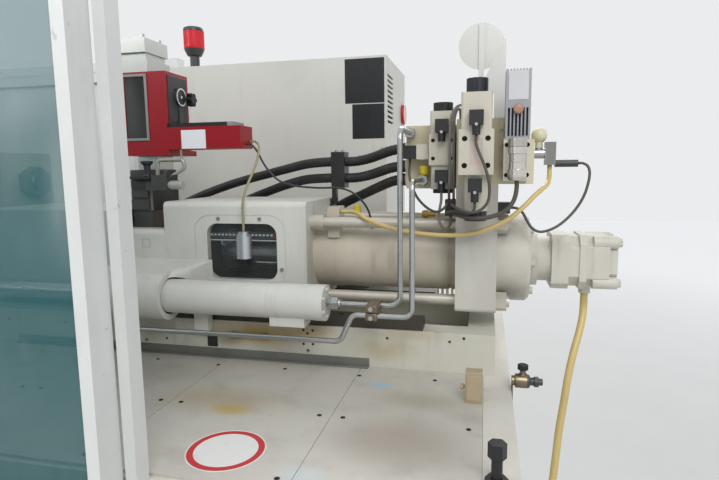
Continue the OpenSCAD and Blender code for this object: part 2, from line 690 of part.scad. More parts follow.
module guard_frame() {
  rail_z = door_top + 0.5;
  x0 = left_post_x;
  color("white") {
    for (x = [x0, post_x[0]])
      span([x, post_y[0], base_top + door_low + seam],
        [x + post_x[1] - post_x[0], post_y[1], rail_z - seam]);
    span([x0, outer_y0, rail_z], [post_x[1], post_y[1], rail_z + top_rail_h]);
    span([x0, outer_y0, base_top - 30], [post_x[1], -near_y, base_top + door_low]);
    // Bracket and pin of the operator panel
    span([panel_axis[0] - 15, panel_axis[1] - 15, panel_pin_z - 22], [x0 + 2, post_y[1] - 2, panel_pin_z]);
    translate([panel_axis[0], panel_axis[1], panel_pin_z - 1]) cylinder(h = 61, d = panel_pin_d);
    // Far side
    for (x = rear_posts)
      span([x, rear_door_y[1] + 2, base_top + door_low + seam],
        [x + 18, rear_door_y[1] + 31, rail_z - seam]);
    span([rear_posts[0], rear_door_y[0] - 2, rail_z],
      [cab_x0 - 2, rear_door_y[1] + 31, rail_z + top_rail_h]);
    span([rear_posts[0], rear_door_y[0] - 2, base_top], [rear_posts[2] + 18, far_y, base_top + door_low]);
    span([deck_x0 + 1, rear_door_y[0], deck_z], [cab_x0 - 2, rear_door_y[0] + 3, rail_z - seam]);
    span([x0, post_y[1] + seam, rail_z], [x0 + 40, rear_door_y[0] - 2 - seam, rail_z + top_rail_h]);
  }
}

// Rectangular door frame between two corners, its bars as wide as given
module door_frame(a, b, stile, rail) {
  difference() {
    span(a, b);
    span([a[0] + stile, a[1] - 1, a[2] + rail], [b[0] - stile, b[1] + 1, b[2] - rail]);
  }
}

// Bow handle that stands off towards -Y
module bow_handle(x, y0, y1, z0, z1) {
  for (z = [z0, z1 - 14]) span([x - 7, y0, z], [x + 7, y1, z + 14]);
  span([x - 7, y0, z0], [x + 7, y0 + 12, z1]);
}

module nozzle_guard_frame() {
  color("white") {
    door_frame([outer_x0, outer_y0, door_z0], [outer_x1, outer_y1, door_top], stile_w, nozzle_rail);
    bow_handle(outer_x0 + stile_w / 2, -785, outer_y0 + 1, 1250, 1450);
  }
}

module nozzle_guard_glass() {
  y = (outer_y0 + outer_y1) / 2;
  color("teal", 0.4)
    span([outer_x0 + stile_w, y - glass_t / 2, door_z0 + nozzle_rail],
      [outer_x1 - stile_w, y + glass_t / 2, door_top - nozzle_rail]);
}

module mould_guard_frame() {
  color("white") {
    door_frame([mould_x0, mould_y[0], door_z0],
      [mould_x0 + mould_door_w, mould_y[1], door_top], mould_stile, mould_stile);
    bow_handle(mould_x0 + mould_stile / 2, mould_y[0] - 42, mould_y[0] + 1, 1250, 1450);
  }
}

module mould_guard_glass() {
  y = (mould_y[0] + mould_y[1]) / 2;
  color("teal", 0.4) span([mould_x0 + mould_stile, y - glass_t / 2, door_z0 + mould_stile],
    [mould_x0 + mould_door_w - mould_stile, y + glass_t / 2, door_top - mould_stile]);
}

module rear_guard_door() {
  color("white") {
    difference() {
      span([rear_x[0], rear_door_y[0], door_z0], [rear_x[1], rear_door_y[1], door_top]);
      span([rear_x[0] + 40, rear_door_y[0] - 1, door_z0 + 40],
        [rear_x[1] - 40, rear_door_y[1] - 4, door_top - 40]);
      for (i = [0, 1], k = [0:9]) span([rear_x[0] + 100 + 320 * i, rear_door_y[1] - 5, 1020 + 26 * k],
        [rear_x[0] + 375 + 320 * i, rear_door_y[1] + 1, 1028 + 26 * k]);
    }
    translate([0, rear_door_y[1], 0]) mirror([0, 1, 0]) bow_handle(rear_x[0] + 20, -34, 1, 1300, 1460);
  }
}

module control_cabinet() {
  glands = [hose_upper_route[0], hose_middle_route[0], hose_lower_route[0]];
  color("whitesmoke") {
    difference() {
      span([cab_x0, cab_y0, deck_z], [cab_x1, cab_y1, cab_top]);
      span([cab_x0 + cabinet_t, cab_y0 + cabinet_t, deck_z + cabinet_t],
        [cab_x1 - cabinet_t, cab_y1 - 20, cab_top - cabinet_t]);
      span([cab_x0 + 24, cab_y1 - 21, deck_z + 24], [cab_x1 - 24, cab_y1 + 1, cab_top - 24]);
      for (k = [0:9]) span([cab_x1 - cabinet_t - 1, cab_y0 + 24, cab_top - 60 - 16 * k],
        [cab_x1 + 1, cab_y0 + 130, cab_top - 52 - 16 * k]);
    }
    for (g = glands) difference() {
      bar_y(cab_y0 - 16, cab_y0 + 1, hose_d + 14, g[0], g[2]);
      bar_y(cab_y0 - 17, cab_y0, hose_d + 2 * slip, g[0], g[2]);
    }
    // Lugs and pins of the door
    for (s = [0, 1]) {
      z = s == 0 ? deck_z : cab_top - 8;
      span([cab_hinge[0] - 7, cab_y1 - 1, z], [cab_hinge[0] + 7, cab_hinge[1] + 6, z + 8]);
      translate([cab_hinge[0], cab_hinge[1], z - (s == 0 ? 0 : 16)]) cylinder(h = 24, d = hinge_pin_d);
    }
    // Mounting plate with its switchgear
    span([cab_x0 + 50, cab_y0 + 30, deck_z + 50], [cab_x1 - 50, cab_y0 + 34, cab_top - 50]);
    for (x = [cab_x0 + 80, cab_x1 - 100], z = [deck_z + 80, cab_top - 100])
      span([x, cab_y0 + cabinet_t - 1, z], [x + 20, cab_y0 + 31, z + 20]);
    for (k = [0:8]) span([cab_x0 + 80 + 84 * k, cab_y0 + 33, deck_z + 120],
      [cab_x0 + 145 + 84 * k, cab_y0 + 120, deck_z + 210]);
    for (k = [0:5]) span([cab_x0 + 80 + 126 * k, cab_y0 + 33, deck_z + 290],
      [cab_x0 + 185 + 126 * k, cab_y0 + 160, deck_z + 450]);
    for (k = [0:2]) span([cab_x0 + 80 + 252 * k, cab_y0 + 33, deck_z + 520],
      [cab_x0 + 290 + 252 * k, cab_y0 + 200, deck_z + 700]);
  }
}

module cabinet_door() {
  z0 = deck_z + 8 + slip;
  z1 = cab_top - 8 - slip;
  color("whitesmoke") {
    difference() {
      union() {
        span([cab_x0 + 1, cab_door_y, z0], [cab_hinge[0], cab_door_y + door_t, z1]);
        translate([cab_hinge[0], cab_hinge[1], z0]) cylinder(h = z1 - z0, d = door_t);
      }
      for (z = [z0 - 1, z1 - 18])
        translate([cab_hinge[0], cab_hinge[1], z]) cylinder(h = 19, d = hinge_pin_d + 2 * fit);
      span([cab_x0 + 22, cab_door_y - 1, z0 + 22], [cab_hinge[0] - 22, cab_door_y + door_t - 3, z1 - 22]);
    }
    for (z = [deck_z + 180, deck_z + 560]) span([cab_x0 + 16, cab_door_y + door_t - 1, z],
      [cab_x0 + 38, 785, z + 90]);
  }
}

module beacon_lamp() {
  x = cab_x0 + 230;
  y = cab_y0 + 50;
  color("red") translate([x, y, cab_top]) {
    translate([-35, -35, 0]) cube([70, 70, 18]);
    cylinder(h = 62, d1 = 48, d2 = 68);
    translate([0, 0, 61]) cylinder(h = 66, d = 70);
    translate([0, 0, 126]) cylinder(h = 12, d = 64);
  }
}

// Cooling water valve on the end rail, with its coil
module water_valve() {
  color("goldenrod") {
    span([base_x1, valve_p[1] - 22, deck_z - 50], [base_x1 + 30, valve_p[1] + 22, deck_z + 6]);
    bar_x(base_x1 + 4, base_x1 + 44, 30, valve_p[1], valve_p[2]);
    bar_x(base_x1 + 43, base_x1 + 60, 22, valve_p[1], valve_p[2]);
    bar_x(base_x1 + 59, base_x1 + 80, 34, valve_p[1], valve_p[2]);
    nut_x(base_x1 + 79, base_x1 + 92, 20, valve_p[1], valve_p[2]);
    difference() {
      translate([valve_p[0], valve_p[1], valve_p[2]]) cylinder(h = 24, d = 16);
      translate([valve_p[0], valve_p[1], valve_p[2] + 10]) cylinder(h = 15, d = 8 + 2 * fit);
    }
    // Return port of the motor's drain hose
    p = drain_route[len(drain_route) - 1];
    bar_x(base_x1, p[0], drain_d + 9, p[1], p[2]);
    difference() {
      bar_x(p[0] - 1, p[0] + 8, drain_d + 9, p[1], p[2]);
      bar_x(p[0], p[0] + 9, drain_d + 2 * slip, p[1], p[2]);
    }
  }
}

module water_valve_knob() {
  color("black") translate([valve_p[0], valve_p[1], valve_p[2]]) {
    translate([0, 0, 16]) cylinder(h = 10, d = 8);
    translate([0, 0, 24 + slip]) difference() {
      cylinder(h = 18, d = 30);
      for (a = [0:30:330]) rotate(a) translate([16, 0, -1]) cylinder(h = 20, d = 5);
    }
  }
}

// Rods and pistons of the two carriage cylinders, bolted to the fixed platen
module carriage_rods() {
  color("silver") for (s = [-1, 1]) {
    bar_x(platen_x[1], lift_piston_x + 1, lift_rod, s * lift_y, lift_z);
    bar_x(lift_piston_x, lift_piston_x + 40, lift_bore - 2 * fit, s * lift_y, lift_z);
    bar_x(platen_x[1], platen_x[1] + 22, lift_rod + 22, s * lift_y, lift_z);
  }
}

module operator_panel() {
  x0 = screen_x1 - screen_w;
  color("lightgray") difference() {
    union() {
      round_front((x0 + screen_x1) / 2, (screen_z[0] + screen_z[1]) / 2,
        screen_w, screen_z[1] - screen_z[0], screen_y[0], screen_y[1], 14);
      span([screen_x1 - 1, panel_axis[1] - 12, panel_pin_z + slip],
        [panel_axis[0], panel_axis[1] + 12, panel_pin_z + 60]);
      translate([panel_axis[0], panel_axis[1], panel_pin_z + slip]) cylinder(h = 60 - slip, d = 30);
      bar_y(screen_y[0] - 12, screen_y[0] + 1, 30, button_p[0], button_p[2]);
      for (i = [0:5], j = [0:2]) span([x0 + 40 + 34 * i, screen_y[0] - 1.5, screen_z[0] + 40 + 30 * j],
        [x0 + 64 + 34 * i, screen_y[0] + 1, screen_z[0] + 60 + 30 * j]);
    }
    translate([panel_axis[0], panel_axis[1], panel_pin_z]) cylinder(h = 61, d = panel_pin_d + 2 * fit);
    span([x0 + 35, screen_y[0] - 2, screen_z[1] - 215],
      [screen_x1 - 35, screen_y[0] + 3, screen_z[1] - 35]);
    bar_y(screen_y[0] - 13, screen_y[0] + 22, button_d + 2 * fit, button_p[0], button_p[2]);
  }
}

module stop_button() {
  color("red") {
    bar_y(screen_y[0] - 19, screen_y[0] + 16, button_d, button_p[0], button_p[2]);
    translate([button_p[0], -785, button_p[2]]) rotate([-90, 0, 0]) cylinder(h = 6, d1 = 34, d2 = 40);
    bar_y(-779, screen_y[0] - 18, 40, button_p[0], button_p[2]);
  }
}

module feed_housing() {
  r = 14;
  color("ivory") difference() {
    union() {
      translate([housing_x0, 0, housing_z0]) rotate([90, 0, 90]) linear_extrude(housing_l)
        housing_profile(housing_top, r);
      translate([shelf_x0, 0, housing_z0]) rotate([90, 0, 90]) linear_extrude(shelf_l + 1)
        housing_profile(shelf_z, r);
      for (s = [-1, 1]) {
        hull() {
          bar_x(shelf_x0, lift_boss_x1 - 30, lift_boss_d - 2, s * lift_y, lift_z, $fn = 32);
          span([shelf_x0, s * housing_y - 1.5, housing_z0 + 17],
            [lift_boss_x1 + 66, s * housing_y + 1.5, lift_z + 74]);
        }
        bar_x(shelf_x0, lift_boss_x1, lift_boss_d, s * lift_y, lift_z);
        // Port pad under the boss
        span([port_x - 18, s * port_y - 14, port_z], [port_x + 18, s * port_y + 14, port_z + 26]);
        // Keeper that hooks past the rail's edge
        span([lift_boss_x1 + 46, s > 0 ? housing_y - 1 : -bed_w / 2 - 26, housing_z0],
          [lift_boss_x1 + 82, s > 0 ? bed_w / 2 + 26 : -housing_y + 1, lift_z + 8]);
        span([lift_boss_x1 + 46, s > 0 ? bed_w / 2 + 3 : -bed_w / 2 - 26, bed_top - 22],
          [lift_boss_x1 + 82, s > 0 ? bed_w / 2 + 26 : -bed_w / 2 - 3, lift_z + 8]);
      }
    }
    for (s = [-1, 1]) {
      bar_x(lift_boss_x1 - 40, lift_boss_x1 + 100, lift_d + 8, s * lift_y, lift_z);
      bar_x(lift_x0, lift_boss_x1 + 100, lift_d, s * lift_y, lift_z);
      bar_x(shelf_x0 - 1, lift_boss_x1, lift_rod + 15, s * lift_y, lift_z);
    }
    // Cavity of the coupling, window and the bores in line
    span([window_x - cavity[0] / 2, -cavity[1] / 2, axis_z - cavity[2] / 2 + 18],
      [window_x + cavity[0] / 2, cavity[1] / 2, axis_z + cavity[2] / 2 + 18]);
    round_front(window_x, window_z, window_w, window_h, -housing_y - 1, -cavity[1] / 2 + 1, 28);
    difference() {
      round_front(frame_x, frame_z, frame_w, frame_h, -housing_y - 1, -housing_y + 1.5, 42);
      round_front(frame_x, frame_z, frame_w - 4, frame_h - 4, -housing_y - 2, -housing_y + 2, 40);
    }
    bar_x(shelf_x0 - 1, barrel_x1, barrel_d);
    bar_x(barrel_x1 - 1, window_x, screw_d + 2);
    bar_x(window_x, housing_x1 + 1, piston_rod_d + 2 * fit);
    translate([feed[0], feed[1], axis_z]) cylinder(h = 200, d = feed_d);
  }
}

// Section of the feed housing across X, its two upper edges rounded
module housing_profile(top, r) {
  w = housing_y;
  h = top - housing_z0;
  union() {
    translate([-w, 0]) square([2 * w, h - r]);
    translate([-w + r, 0]) square([2 * w - 2 * r, h]);
    for (s = [-1, 1]) translate([s * (w - r), h - r]) circle(r);
  }
}

// Panes of the housing's window and of the separator's door
module sight_windows() {
  color("lightgray", 0.4) {
    round_front(window_x, window_z, window_w, window_h, -housing_y + 2, -housing_y + 8, 28);
    span([door_x[0], sep_y[0], door_z[0]], [door_x[1], sep_y[0] + separator_wall, door_z[1]]);
  }
}

module barrel() {
  flange_d = 150;
  color("silver") difference() {
    union() {
      bar_x(barrel_x0 - 1, barrel_x1, barrel_d);
      bar_x(120, barrel_x0, barrel_d + 14);
      bar_x(shelf_x0 - barrel_flange_t, shelf_x0, flange_d);
      nut_x(70, 121, 46, 0, axis_z);
      bar_x(nozzle_x + 22, 71, 34);
      translate([nozzle_x, 0, axis_z]) rotate([0, 90, 0]) cylinder(h = 22.1, d1 = 16, d2 = 34);
      for (a = [30:60:330]) bar_x(108, 121, 16, 41 * cos(a), axis_z + 41 * sin(a));
    }
    bar_x(130, barrel_x1 + 1, screw_d + 2 * fit);
    bar_x(nozzle_x - 1, 131, 8);
    translate([feed[0], feed[1], axis_z]) cylinder(h = 60, d = feed_d);
  }
}

module heater_bands() {
  count = 6;
  gap = 8;
  x0 = barrel_x0 + 30;
  pitch = (shelf_x0 - barrel_flange_t - 22 + gap - x0) / count;
  l = pitch - gap;
  color("dimgray") for (k = [0:count - 1]) {
    x = x0 + pitch * k;
    difference() {
      union() {
        bar_x(x, x + l, barrel_d + 16);
        span([x + 12, -12, axis_z - barrel_d / 2 - 24], [x + l - 12, 12, axis_z - barrel_d / 2 + 2]);
      }
      bar_x(x - 1, x + l + 1, barrel_d);
      span([x - 1, -2, axis_z - barrel_d / 2 - 25], [x + l + 1, 2, axis_z - barrel_d / 2 + 1]);
    }
  }
}

// Screw with its flight, thrust collar and tail, all one shaft
module plasticizing_screw() {
  root = screw_d / 2 - 5.5;
  tip = screw_d / 2 - 0.4;
  x0 = 165;
  turns = 16;
  flight_x1 = x0 + screw_d * turns;
  color("silver") {
    // Section across the flight, turned once for each screw diameter of length
    translate([x0, 0, axis_z]) rotate([0, 90, 0])
      linear_extrude(height = flight_x1 - x0, twist = -360 * turns, slices = 12 * turns, $fn = 6)
        polygon(concat([for (a = [-21, 21]) tip * [cos(a), sin(a)]],
          [for (a = [31:42:329]) root * [cos(a), sin(a)]]));
    bar_x(150, x0 + 2, 2 * root - 1);
    translate([135, 0, axis_z]) rotate([0, 90, 0]) cylinder(h = 15.5, d1 = 6, d2 = 2 * root - 4);
    bar_x(flight_x1 - 1, collar_x0 + 1, screw_d - 0.4);
    bar_x(collar_x0, coupling_x0 - slip, 60);
    bar_x(coupling_x0 - slip - 1, tail_x1, tail_d);
  }
}

module injection_piston() {
  color("silver") difference() {
    union() {
      bar_x(coupling_x0, coupling_x0 + coupling_l, 110);
      bar_x(coupling_x0 + coupling_l - 1, piston_x0 + 1, piston_rod_d);
      bar_x(piston_x0, piston_x0 + piston_l, cyl_bore - 2 * fit);
      span([coupling_x0 + 24, -104, axis_z + 30], [coupling_x0 + 30, -30, axis_z + 42]);
    }
    bar_x(coupling_x0 - 1, piston_x0 + piston_l + 1, tail_d + 2 * fit);
  }
}

module injection_cylinder() {
  color("wheat") difference() {
    union() {
      bar_x(housing_x1, plate_x0, cyl_d);
      span([1176, -75, axis_z + 50], [1206, -25, axis_z + 125]);
    }
    bar_x(housing_x1 + head_l, plate_x0 - head_l, cyl_bore);
    bar_x(housing_x1 - 1, housing_x1 + head_l + 1, piston_rod_d + 2 * fit);
    bar_x(plate_x0 - head_l - 1, plate_x0 + 1, tail_d + 6);
    difference() {
      bar_x(housing_x1 + 56, housing_x1 + 57.5, cyl_d + 2);
      bar_x(housing_x1 + 55, housing_x1 + 58, cyl_d - 2);
    }
    difference() {
      bar_x(plate_x0 - 20, plate_x0 - 12, cyl_d + 2);
      bar_x(plate_x0 - 21, plate_x0 - 11, cyl_d - 5);
    }
  }
}

module cylinder_tie_rods() {
  color("silver") for (y = [-1, 1], z = [-1, 1]) {
    bar_x(housing_x1, plate_x1 + 30, rod_d, y * rod_off, axis_z + z * rod_off);
    bar_x(housing_x1, housing_x1 + 34, rod_d + 9, y * rod_off, axis_z + z * rod_off);
    nut_x(plate_x1, plate_x1 + 24, 38, y * rod_off, axis_z + z * rod_off);
  }
}

module rear_plate() {
  r = 10;
  color("ivory") difference() {
    translate([plate_x0, 0, plate_low]) rotate([90, 0, 90]) linear_extrude(plate_t) union() {
      translate([-housing_y + r, 0]) square([2 * (housing_y - r), plate_top - plate_low]);
      translate([-housing_y, r]) square([2 * housing_y, plate_top - plate_low - r]);
      for (s = [-1, 1]) translate([s * (housing_y - r), r]) circle(r);
    }
    bar_x(plate_x0 - 1, plate_x1 + 1, tail_d + 6);
    for (y = [-1, 1], z = [-1, 1])
      bar_x(plate_x0 - 1, plate_x1 + 1, rod_d, y * rod_off, axis_z + z * rod_off);
  }
}

module bearing_housing() {
  color("ivory") difference() {
    union() {
      bar_x(plate_x1, bearing_x1 - 8, bearing_d);
      translate([bearing_x1 - 8.1, 0, axis_z]) rotate([0, 90, 0])
        cylinder(h = 8.1, d1 = bearing_d, d2 = bearing_d - 14);
      bar_x(bearing_x1 - 1, bearing_x1 + adapter_l, 129);
      bar_x(bearing_x1 + adapter_l - 1, motor_x0, 106);
      for (a = [0:60:300]) bar_x(bearing_x1 - 1, bearing_x1 + 9, 17, 82 * cos(a), axis_z + 82 * sin(a));
    }
    bar_x(plate_x1 - 1, motor_x0 + 1, tail_d + 2 * fit);
  }
}

// Square block of the motor with its corners cut back
module motor_block(x0, x1, w, cut) {
  translate([x0, 0, axis_z]) rotate([90, 0, 90]) linear_extrude(x1 - x0)
    polygon([for (a = [0:3]) for (p = [[w / 2, -w / 2 + cut], [w / 2, w / 2 - cut]])
      [p[0] * cos(90 * a) - p[1] * sin(90 * a), p[0] * sin(90 * a) + p[1] * cos(90 * a)]]);
}

module screw_motor() {
  xs = [motor_x0, motor_x0 + motor_blocks[0], motor_x0 + motor_blocks[0] + motor_blocks[1],
    motor_x1 - motor_blocks[3]];
  bolt_off = motor_w / 2 - 16;
  port = drain_route[0];
  color("ivory") difference() {
    union() {
      motor_block(xs[0], xs[1], motor_w, 14);
      motor_block(xs[1] - 0.5, xs[2] + 0.5, motor_w - 8, 26);
      motor_block(xs[2], xs[3], motor_w, 20);
      motor_block(xs[3] - 0.5, motor_x1 - 18, motor_w - 6, 24);
      motor_block(motor_x1 - 18.5, motor_x1, motor_w - 22, 26);
      for (y = [-1, 1], z = [-1, 1]) {
        bar_x(xs[3] + 14, motor_x1, 28, y * bolt_off, axis_z + z * bolt_off);
        nut_x(motor_x1 - 0.5, motor_x1 + motor_bolt, 17, y * bolt_off, axis_z + z * bolt_off);
      }
      translate([port[0], port[1], port[2]]) cylinder(h = 40, d = drain_d + 9);
    }
    bar_x(motor_x0 - 1, motor_x1 - 30, tail_d + 2);
  }
}

module barrel_cover() {
  top = axis_z + 118;
  y = housing_y + 16;
  t = 3;
  color("whitesmoke") {
    difference() {
      span([200, -y, housing_z0 + 2], [shelf_x0, y, top]);
      span([199, -y + t, housing_z0], [shelf_x0 + 1, y - t, top - t]);
    }
    span([200, -y, top - 60], [204, y, top]);
  }
}

module carriage_cylinders() {
  color("ivory") for (s = [-1, 1]) difference() {
    union() {
      bar_x(lift_x0, lift_x1 - lift_cap, lift_d, s * lift_y, lift_z);
      bar_x(lift_x1 - lift_cap, lift_x1, lift_d + 1, s * lift_y, lift_z);
      for (a = [30:60:330])
        bar_x(lift_x1 - 1, lift_x1 + 3, 8, s * lift_y + 30 * cos(a), lift_z + 30 * sin(a));
      span([1084, s * lift_y - 22, lift_z - 54], [1166, s * lift_y + 22, lift_z - 30]);
    }
    bar_x(lift_x0 + lift_gland, lift_x1 - lift_cap, lift_bore, s * lift_y, lift_z);
    bar_x(lift_x0 - 1, lift_x0 + lift_gland + 1, lift_rod + 2 * fit, s * lift_y, lift_z);
    for (x = [1082, 1106]) difference() {
      bar_x(x, x + 1.5, lift_d + 2, s * lift_y, lift_z);
      bar_x(x - 1, x + 3, lift_d - 1.6, s * lift_y, lift_z);
    }
  }
}

module feed_throat() {
  side_x = [throat_x[1] - 30, throat_x[1] + 52];
  side_z = throat_top - 14;
  tube_y = -108;
  color("dimgray") {
    difference() {
      union() {
        span([throat_x[0], -95, shelf_z], [throat_x[1], 95, throat_top]);
        for (k = [0:3]) span([throat_x[0] + 4, -101, shelf_z + 14 + 26 * k],
          [throat_x[1] - 8, -94, shelf_z + 24 + 26 * k]);
        span([shelf_x0, -45, throat_top - 1], [feed[0] + feed_d / 2 + 6, 35, column_top]);
        // Cooling water block at the side, its hose stub and the tube that joins its two ports
        span([side_x[0], -122, side_z - 26], [side_x[1], -94, side_z]);
        bar_x(side_x[1] - 1, side_x[1] + 26, 16, tube_y, side_z - 13);
        pipe_run([[side_x[0] + 12, tube_y, side_z - 1], [side_x[0] + 12, tube_y, side_z + 44],
          [side_x[1] - 14, tube_y, side_z + 44], [side_x[1] - 14, tube_y, side_z - 1]], 10, 14);
      }
      translate([feed[0], feed[1], shelf_z - 1]) cylinder(h = 300, d = feed_d);
      span([gate_x[0] - slip, -110, slide_z - slip],
        [gate_x[1] + slip, 24 + slip, slide_z + slide_t + slip]);
    }
  }
}

module throat_slide() {
  knob = [gate_x[1] - 11, -112];
  color("dimgray") {
    difference() {
      span([gate_x[0], -124, slide_z], [gate_x[1], 24, slide_z + slide_t]);
      translate([feed[0], feed[1], slide_z - 1]) cylinder(h = slide_t + 2, d = feed_d);
    }
    translate([knob[0], knob[1], slide_z + slide_t - 1]) cylinder(h = 46, d = 12);
    translate([knob[0], knob[1], slide_z + slide_t + 40]) cylinder(h = 10, d = 30);
  }
}

module separator_housing() {
  x0 = shelf_x0;
  x1 = separator_x1;
  t = separator_wall;
  dial = [sep_y[0] + 62, box_top - 58];
  color("firebrick") difference() {
    union() {
      span([x0, sep_y[0], column_top], [x1, sep_y[1] + 30, flange_top]);
      span([x0, sep_y[0], flange_top - 1], [x1, sep_y[1], box_top]);
      span([x1 - 52, sep_y[0], flange_top], [bar_x1, -30, bar_z[1]]);
      // Lid on the bar
      span([x1 - 1, sep_y[0] + 4, bar_z[1] - 1], [bar_x1 - 20, -34, bar_z[1] + 10]);
      // Dial and its duct on the side of the box
      bar_x(x1 - 1, x1 + 8, 46, dial[0], dial[1]);
      span([x1 - 1, dial[0] - 9, bar_z[1] + 9], [x1 + 5, dial[0] + 9, dial[1] - 10]);
    }
    span([x0 + t, sep_y[0] + t, flange_top + t], [x1 - t, sep_y[1] - t, box_top - t]);
    span([door_x[0], sep_y[0] - 1, door_z[0]], [door_x[1], sep_y[0] + t + 1, door_z[1]]);
    translate([feed[0], feed[1], column_top - 1]) cylinder(h = 30, d = feed_d);
    translate([inlet[0], inlet[1], box_top - t - 1]) cylinder(h = t + 2, d = inlet_d + 4);
    bar_x(x1 - t - 1, x1 + 9, 10 + 2 * fit, knob_p[0], knob_p[1]);
    difference() {
      bar_x(x1 + 6, x1 + 9, 38, dial[0], dial[1]);
      bar_x(x1 + 5, x1 + 10, 8, dial[0], dial[1]);
    }
  }
}

// Star knob on its screw
module separator_knob() {
  color("black") difference() {
    union() {
      bar_x(separator_x1 - separator_wall - 8, separator_x1 + 12, 10, knob_p[0], knob_p[1]);
      bar_x(separator_x1 + 11, separator_x1 + 28, 28, knob_p[0], knob_p[1]);
      for (a = [0:60:300])
        bar_x(separator_x1 + 13, separator_x1 + 26, 11, knob_p[0] + 13 * cos(a), knob_p[1] + 13 * sin(a));
    }
    for (a = [30:60:330])
      bar_x(separator_x1 + 10, separator_x1 + 29, 7, knob_p[0] + 15 * cos(a), knob_p[1] + 15 * sin(a));
  }
}

module hopper_plates() {
  lower = [[shelf_x0 - 30, sep_y[0] + 3], [shelf_x0 + 80, sep_y[1] - 3]];
  color("lightgray") difference() {
    union() {
      span([lower[0][0], lower[0][1], box_top], [lower[1][0], lower[1][1], box_top + 32]);
      span([lower[0][0] - 6, lower[0][1] + 8, box_top + 31],
        [lower[1][0] - 8, lower[1][1] - 8, box_top + 50]);
      span([lower[0][0] - 20, lower[0][1], box_top + 49], [lower[1][0] - 4, lower[1][1], box_top + 84]);
      for (x = [lower[0][0] + 4, lower[1][0] - 18], y = [lower[0][1] + 14, lower[1][1] - 14])
        translate([x, y, box_top + 83]) cylinder(h = 12, d = 12, $fn = 6);
    }
    translate([inlet[0], inlet[1], box_top - 1]) cylinder(h = 100, d = inlet_d);
  }
}

// Blocks that carry the valves, above and beside the rear plate
module valve_manifold() {
  ends = [hose_upper_route, hose_middle_route, hose_lower_route];
  hose_y = 45;
  color("wheat") {
    difference() {
      union() {
        span([plate_x0, -housing_y, plate_top], [plate_x1 + 14, wing_y[1], manifold_top]);
        span([wing_x0, wing_y[0], plate_top - 12], [plate_x0, wing_y[1], manifold_top - 5]);
        span([plate_x1 + 14, -housing_y, plate_top], [sensor_x, 0, plate_top + 94]);
      }
      for (z = [plate_top + 40, plate_top + 75, plate_top + 110])
        bar_y(-housing_y - 1, -housing_y + 4, 14, plate_x1 + 6, z);
    }
    for (route = ends) difference() {
      bar_x(wing_x0 - 14, wing_x0, hose_d + 8, hose_y, route[len(route) - 1][2]);
      bar_x(wing_x0 - 15, wing_x0 + 1, hose_d + 2 * slip, hose_y, route[len(route) - 1][2]);
    }
  }
}

// One solenoid of a valve, its hand knob at the far end
module solenoid(x, y, z0, h, w, knob_h, up) {
  translate([x, y, z0]) mirror([0, 0, up ? 0 : 1]) {
    translate([-w / 2 + 6, -w / 2, -0.5]) cube([w - 12, w, h]);
    translate([-w / 2, -w / 2 + 6, -0.5]) cube([w, w - 12, h]);
    for (i = [-1, 1], j = [-1, 1])
      translate([i * (w / 2 - 6), j * (w / 2 - 6), -0.5]) cylinder(h = h, d = 12);
    translate([0, 0, h - 1]) difference() {
      cylinder(h = knob_h, d = 44);
      for (a = [0:30:330]) rotate(a) translate([22.5, 0, 5]) cylinder(h = knob_h, d = 4);
    }
  }
}

module control_valves() {
  y_face = -housing_y;
  color("wheat") {
    // Directional valve on the front, with its four screws sunk
    difference() {
      span([valve_x - valve_w / 2, y_face - 80, valve_z[0]], [valve_x + valve_w / 2, y_face, valve_z[1]]);
      for (x = [-23, 23], z = [-27, 27])
        bar_y(y_face - 81, y_face - 68, 11, valve_x + x, (valve_z[0] + valve_z[1]) / 2 + z);
      span([valve_x - 12, y_face - 81, valve_z[0] + 20], [valve_x + 12, y_face - 79, valve_z[1] - 20]);
    }
    solenoid(valve_x, y_face - 44, valve_z[1], 74, 62, 30, true);
    translate([valve_x, y_face - 44, valve_z[0] - 75]) cylinder(h = 76, d = 50);
    translate([valve_x, y_face - 44, valve_z[0] - 96]) difference() {
      cylinder(h = 22, d = 46);
      for (a = [0:30:330]) rotate(a) translate([23.5, 0, -1]) cylinder(h = 18, d = 4);
    }
    // Valve on the left wing
    difference() {
      span([left_valve_x - 29, wing_y[0] - 65, plate_top + 42],
        [left_valve_x + 29, wing_y[0], plate_top + 112]);
      for (x = [-20, 20], z = [-20, 20])
        bar_y(wing_y[0] - 66, wing_y[0] - 56, 9, left_valve_x + x, plate_top + 77 + z);
    }
    solenoid(left_valve_x, wing_y[0] - 35, plate_top + 112, 50, 54, 20, true);
    solenoid(left_valve_x, wing_y[0] - 35, plate_top + 42, 54, 50, 10, false);
    // Small valve lying on the wing's face
    span([1395, -88, plate_top + 56], [1423, wing_y[0], plate_top + 90]);
  }
}

// Plug whose back sits on a face at y, with its cable neck below
module din_plug(x, y, z) {
  span([x - 14, y - 24, z - 14], [x + 14, y, z + 14]);
  translate([x, y - 14, z - 34]) cylinder(h = 40, d = 16);
}

